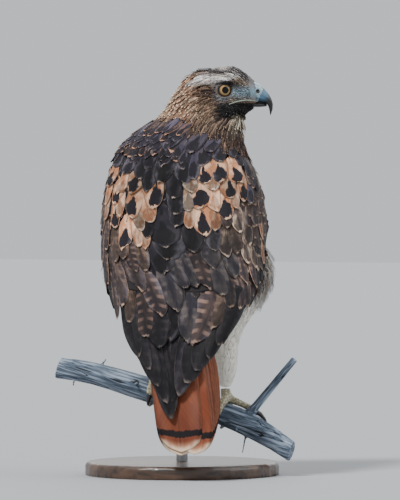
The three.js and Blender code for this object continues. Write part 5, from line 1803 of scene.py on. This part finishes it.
# Lid skin: fine, dark and dull, which frames the wet eye.
lid_skin = spotted_material("lid_skin", "141011", "221b1b", 0.5, 0.7, 0.2)
for name, sign in (("left", 1), ("right", -1)):
    centre, gaze, up, side = eye_frame(sign)
    angle = np.linspace(0.02, np.pi - 0.02, 40)
    bulge = 1 + 0.035 * np.exp(-((angle / 0.55) ** 2))
    profile = np.stack([np.sin(angle), np.cos(angle)], 1) * (EYE_RADIUS * bulge)[:, None]
    rings = turned(profile, centre, gaze, up, side, EYE_SEGMENTS)
    points, groups = capped(rings[::-1])
    ball = make_piece("eyeball_" + name, points, groups, wet_eye, ["eye_" + name])
    spin = 2 * np.pi * np.arange(EYE_SEGMENTS) / EYE_SEGMENTS
    places = np.stack(np.meshgrid(angle[::-1], spin, indexing="ij")[::-1], -1).reshape(-1, 2)
    set_map(ball, "Gaze", np.concatenate([places, [[0, np.pi], [0, 0]]]))
    ring_turn = np.linspace(0, 2 * np.pi, LID_SEGMENTS + 1)
    lid = np.stack([7.45 + 1.15 * np.cos(ring_turn), 6.75 + 1.0 * np.sin(ring_turn)], 1)
    lid_points = turned(lid[:-1], centre, gaze, up, side, EYE_SEGMENTS)
    droop = np.maximum(np.cos(spin), 0)[None, :, None] ** 1.5
    lid_points = lid_points + droop * (1.15 * gaze - 1.5 * up)
    lid_faces = sheet_faces(LID_SEGMENTS, EYE_SEGMENTS, wrap=True)
    k, last = np.arange(EYE_SEGMENTS), (LID_SEGMENTS - 1) * EYE_SEGMENTS
    after = (k + 1) % EYE_SEGMENTS
    close = np.stack([last + k, k, after, last + after], -1)
    make_piece("lid_" + name, lid_points.reshape(-1, 3), [lid_faces, close], lid_skin)

# %% [markdown]
# ## Feet and claws
# The feet are pale yellow-grey skin in small hard plates, and the black claws are polished horn.
# They are melted from the solids, so that toes and shank become one foot without joints.

# %% Feet and claws
# Scaled skin: dry and dull, with plates about 3 mm wide. Claw horn: smooth, with a clear gloss.
foot_skin = spotted_material("scaled_skin", "a0967a", "c8c0a4", 0.6, 0.42, 0.8, plates=0.33)
claw_horn = spotted_material("claw_horn", "0d0d10", "1d1c20", 0.25, 0.3, 0.1, 0.4)
for side in ("left", "right"):
    round_copy("scaled_foot_" + side, ["tarsus_" + side, "foot_" + side], 0.9, 6, foot_skin)
    claws = ["claw_" + side + "_" + toe for toe in ("inner", "middle", "outer", "hind")]
    round_copy("claws_" + side, claws, 0.5, 3, claw_horn)

# %% [markdown]
# ## Wood
# Wood is a bundle of long fibres. Its grain is noise drawn out along the way of the fibres, and
# where it has dried outdoors it splits along them. A branch that leaves the stem has fibres of its
# own, so it gets an axis of its own above the fork.

# %% Wood material
# Cells of noise along the grain and across it, as shares of the grain or crack count.
FINE_GRAIN, BROAD_GRAIN, CRACK_GRAIN = (0.05, 1), (0.02, 0.25), (0.07, 1)


def wood_material(name, tones, axis, through, grain, cracks, roughness, clear=0.0, branch=None):
    """Wood: tones are dark, middle and pale hex values; axis is the way of the grain, in the bird's
    frame, through a point; grain is fibres to a metre, coarser than real ones.

    Cracks, so many to a metre, are where a second, coarser noise passes its middle value, so they run
    long and thin; they are painted near black as the shade inside the splits, and sunk in the relief;
    0 leaves them out. A branch is the way of its own grain and how many millimetres above the axis it starts.
    """
    material, tree, shader = new_material(name)
    do = partial(wire, tree)
    place = add(tree, "ShaderNodeTexCoord").outputs["Object"]
    away = do("away", place, tuple(metres(np.array(through, float))))

    def along_and_across(axis):
        """Distances along the grain and in two ways across it."""
        axis = unit(np.array(axis, float))
        side = unit(np.cross(axis, [0.0, 1.0, 0.0]))
        return [do("dot", away, tuple(way)) for way in (axis, side, np.cross(axis, side))]

    parts = along_and_across(axis)
    if branch:
        above = do("GREATER_THAN", parts[1], branch[1] * MM)
        parts = [do("MULTIPLY_ADD", do("SUBTRACT", new, old), above, old)
                 for old, new in zip(parts, along_and_across(branch[0]))]

    def drawn_out(count, stretch, detail):
        """Noise drawn out along the grain."""
        along, across = count * stretch[0], count * stretch[1]
        scaled = [do("MULTIPLY", part, k) for part, k in zip(parts, (along, across, across))]
        return do("noise", do("join", *scaled), 1.0, detail)

    fine = drawn_out(grain, FINE_GRAIN, 6.0)
    broad = drawn_out(grain, BROAD_GRAIN, 3.0)
    colour = do("mix", do("ease", fine, 0.34, 0.6), paint(tones[0]), paint(tones[1]))
    colour = do("mix", do("ease", broad, 0.42, 0.7), colour, paint(tones[2]))
    height = fine
    if cracks:
        off = do("SUBTRACT", drawn_out(cracks, CRACK_GRAIN, 2.0), 0.5)
        whole = do("ease", do("ABSOLUTE", off), 0.002, 0.011)
        # Painted shade: the splits are painted near black, as the shade inside them.
        colour = do("mix", do("SUBTRACT", 1.0, whole), colour, paint("15171b"))
        height = do("MULTIPLY_ADD", whole, 2.0, height)
    set_inputs(tree, shader, {
        "Base Color": colour, "Roughness": roughness, "Coat Weight": clear,
        "Normal": do("bump", height, 0.8 * MM, 0.7)})
    return material


# %% [markdown]
# ## Perch
# The perch is a short length of dead branch with a fork, cut off at both ends. The sun has bleached
# it to silver grey, with long splits painted dark as the shade inside them.

# %% Perch
# Weathered wood: dry, matt and silvery, with raised grain.
grey_wood = wood_material("weathered_wood", ("2b3642", "576678", "98a6b8"), (1, 0, -0.295), (0, 0, -11),
                          1500, 90, 0.85, branch=((0.643, 0, 0.766), 14.5))
round_copy("split_perch", ["perch"], 0.9, 2, grey_wood)

# %% [markdown]
# ## Stand
# A round wooden base and one steel rod hold the perch, as in a museum case. The rod is shown as its
# own solid, and the base is a smoothed copy.

# %% Stand
# Varnished wood: dark brown under a clear film. Brushed steel: plain grey metal, satin.
varnished = wood_material("varnished_wood", ("271a12", "3f2c20", "513a2a"), (1, 0.2, 0), (0, 60, -300),
                          260, 0, 0.38, 0.3)
steel = spotted_material("brushed_steel", "8a8c8e", "97999b", 0.35, 0.09, 0.1)
steel.node_tree.nodes["Principled BSDF"].inputs["Metallic"].default_value = 1.0
round_copy("round_base", ["stand_base"], 2.0, 6, varnished)
rod_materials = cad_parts["stand_rod"].data.materials
rod_materials.clear()
rod_materials.append(steel)
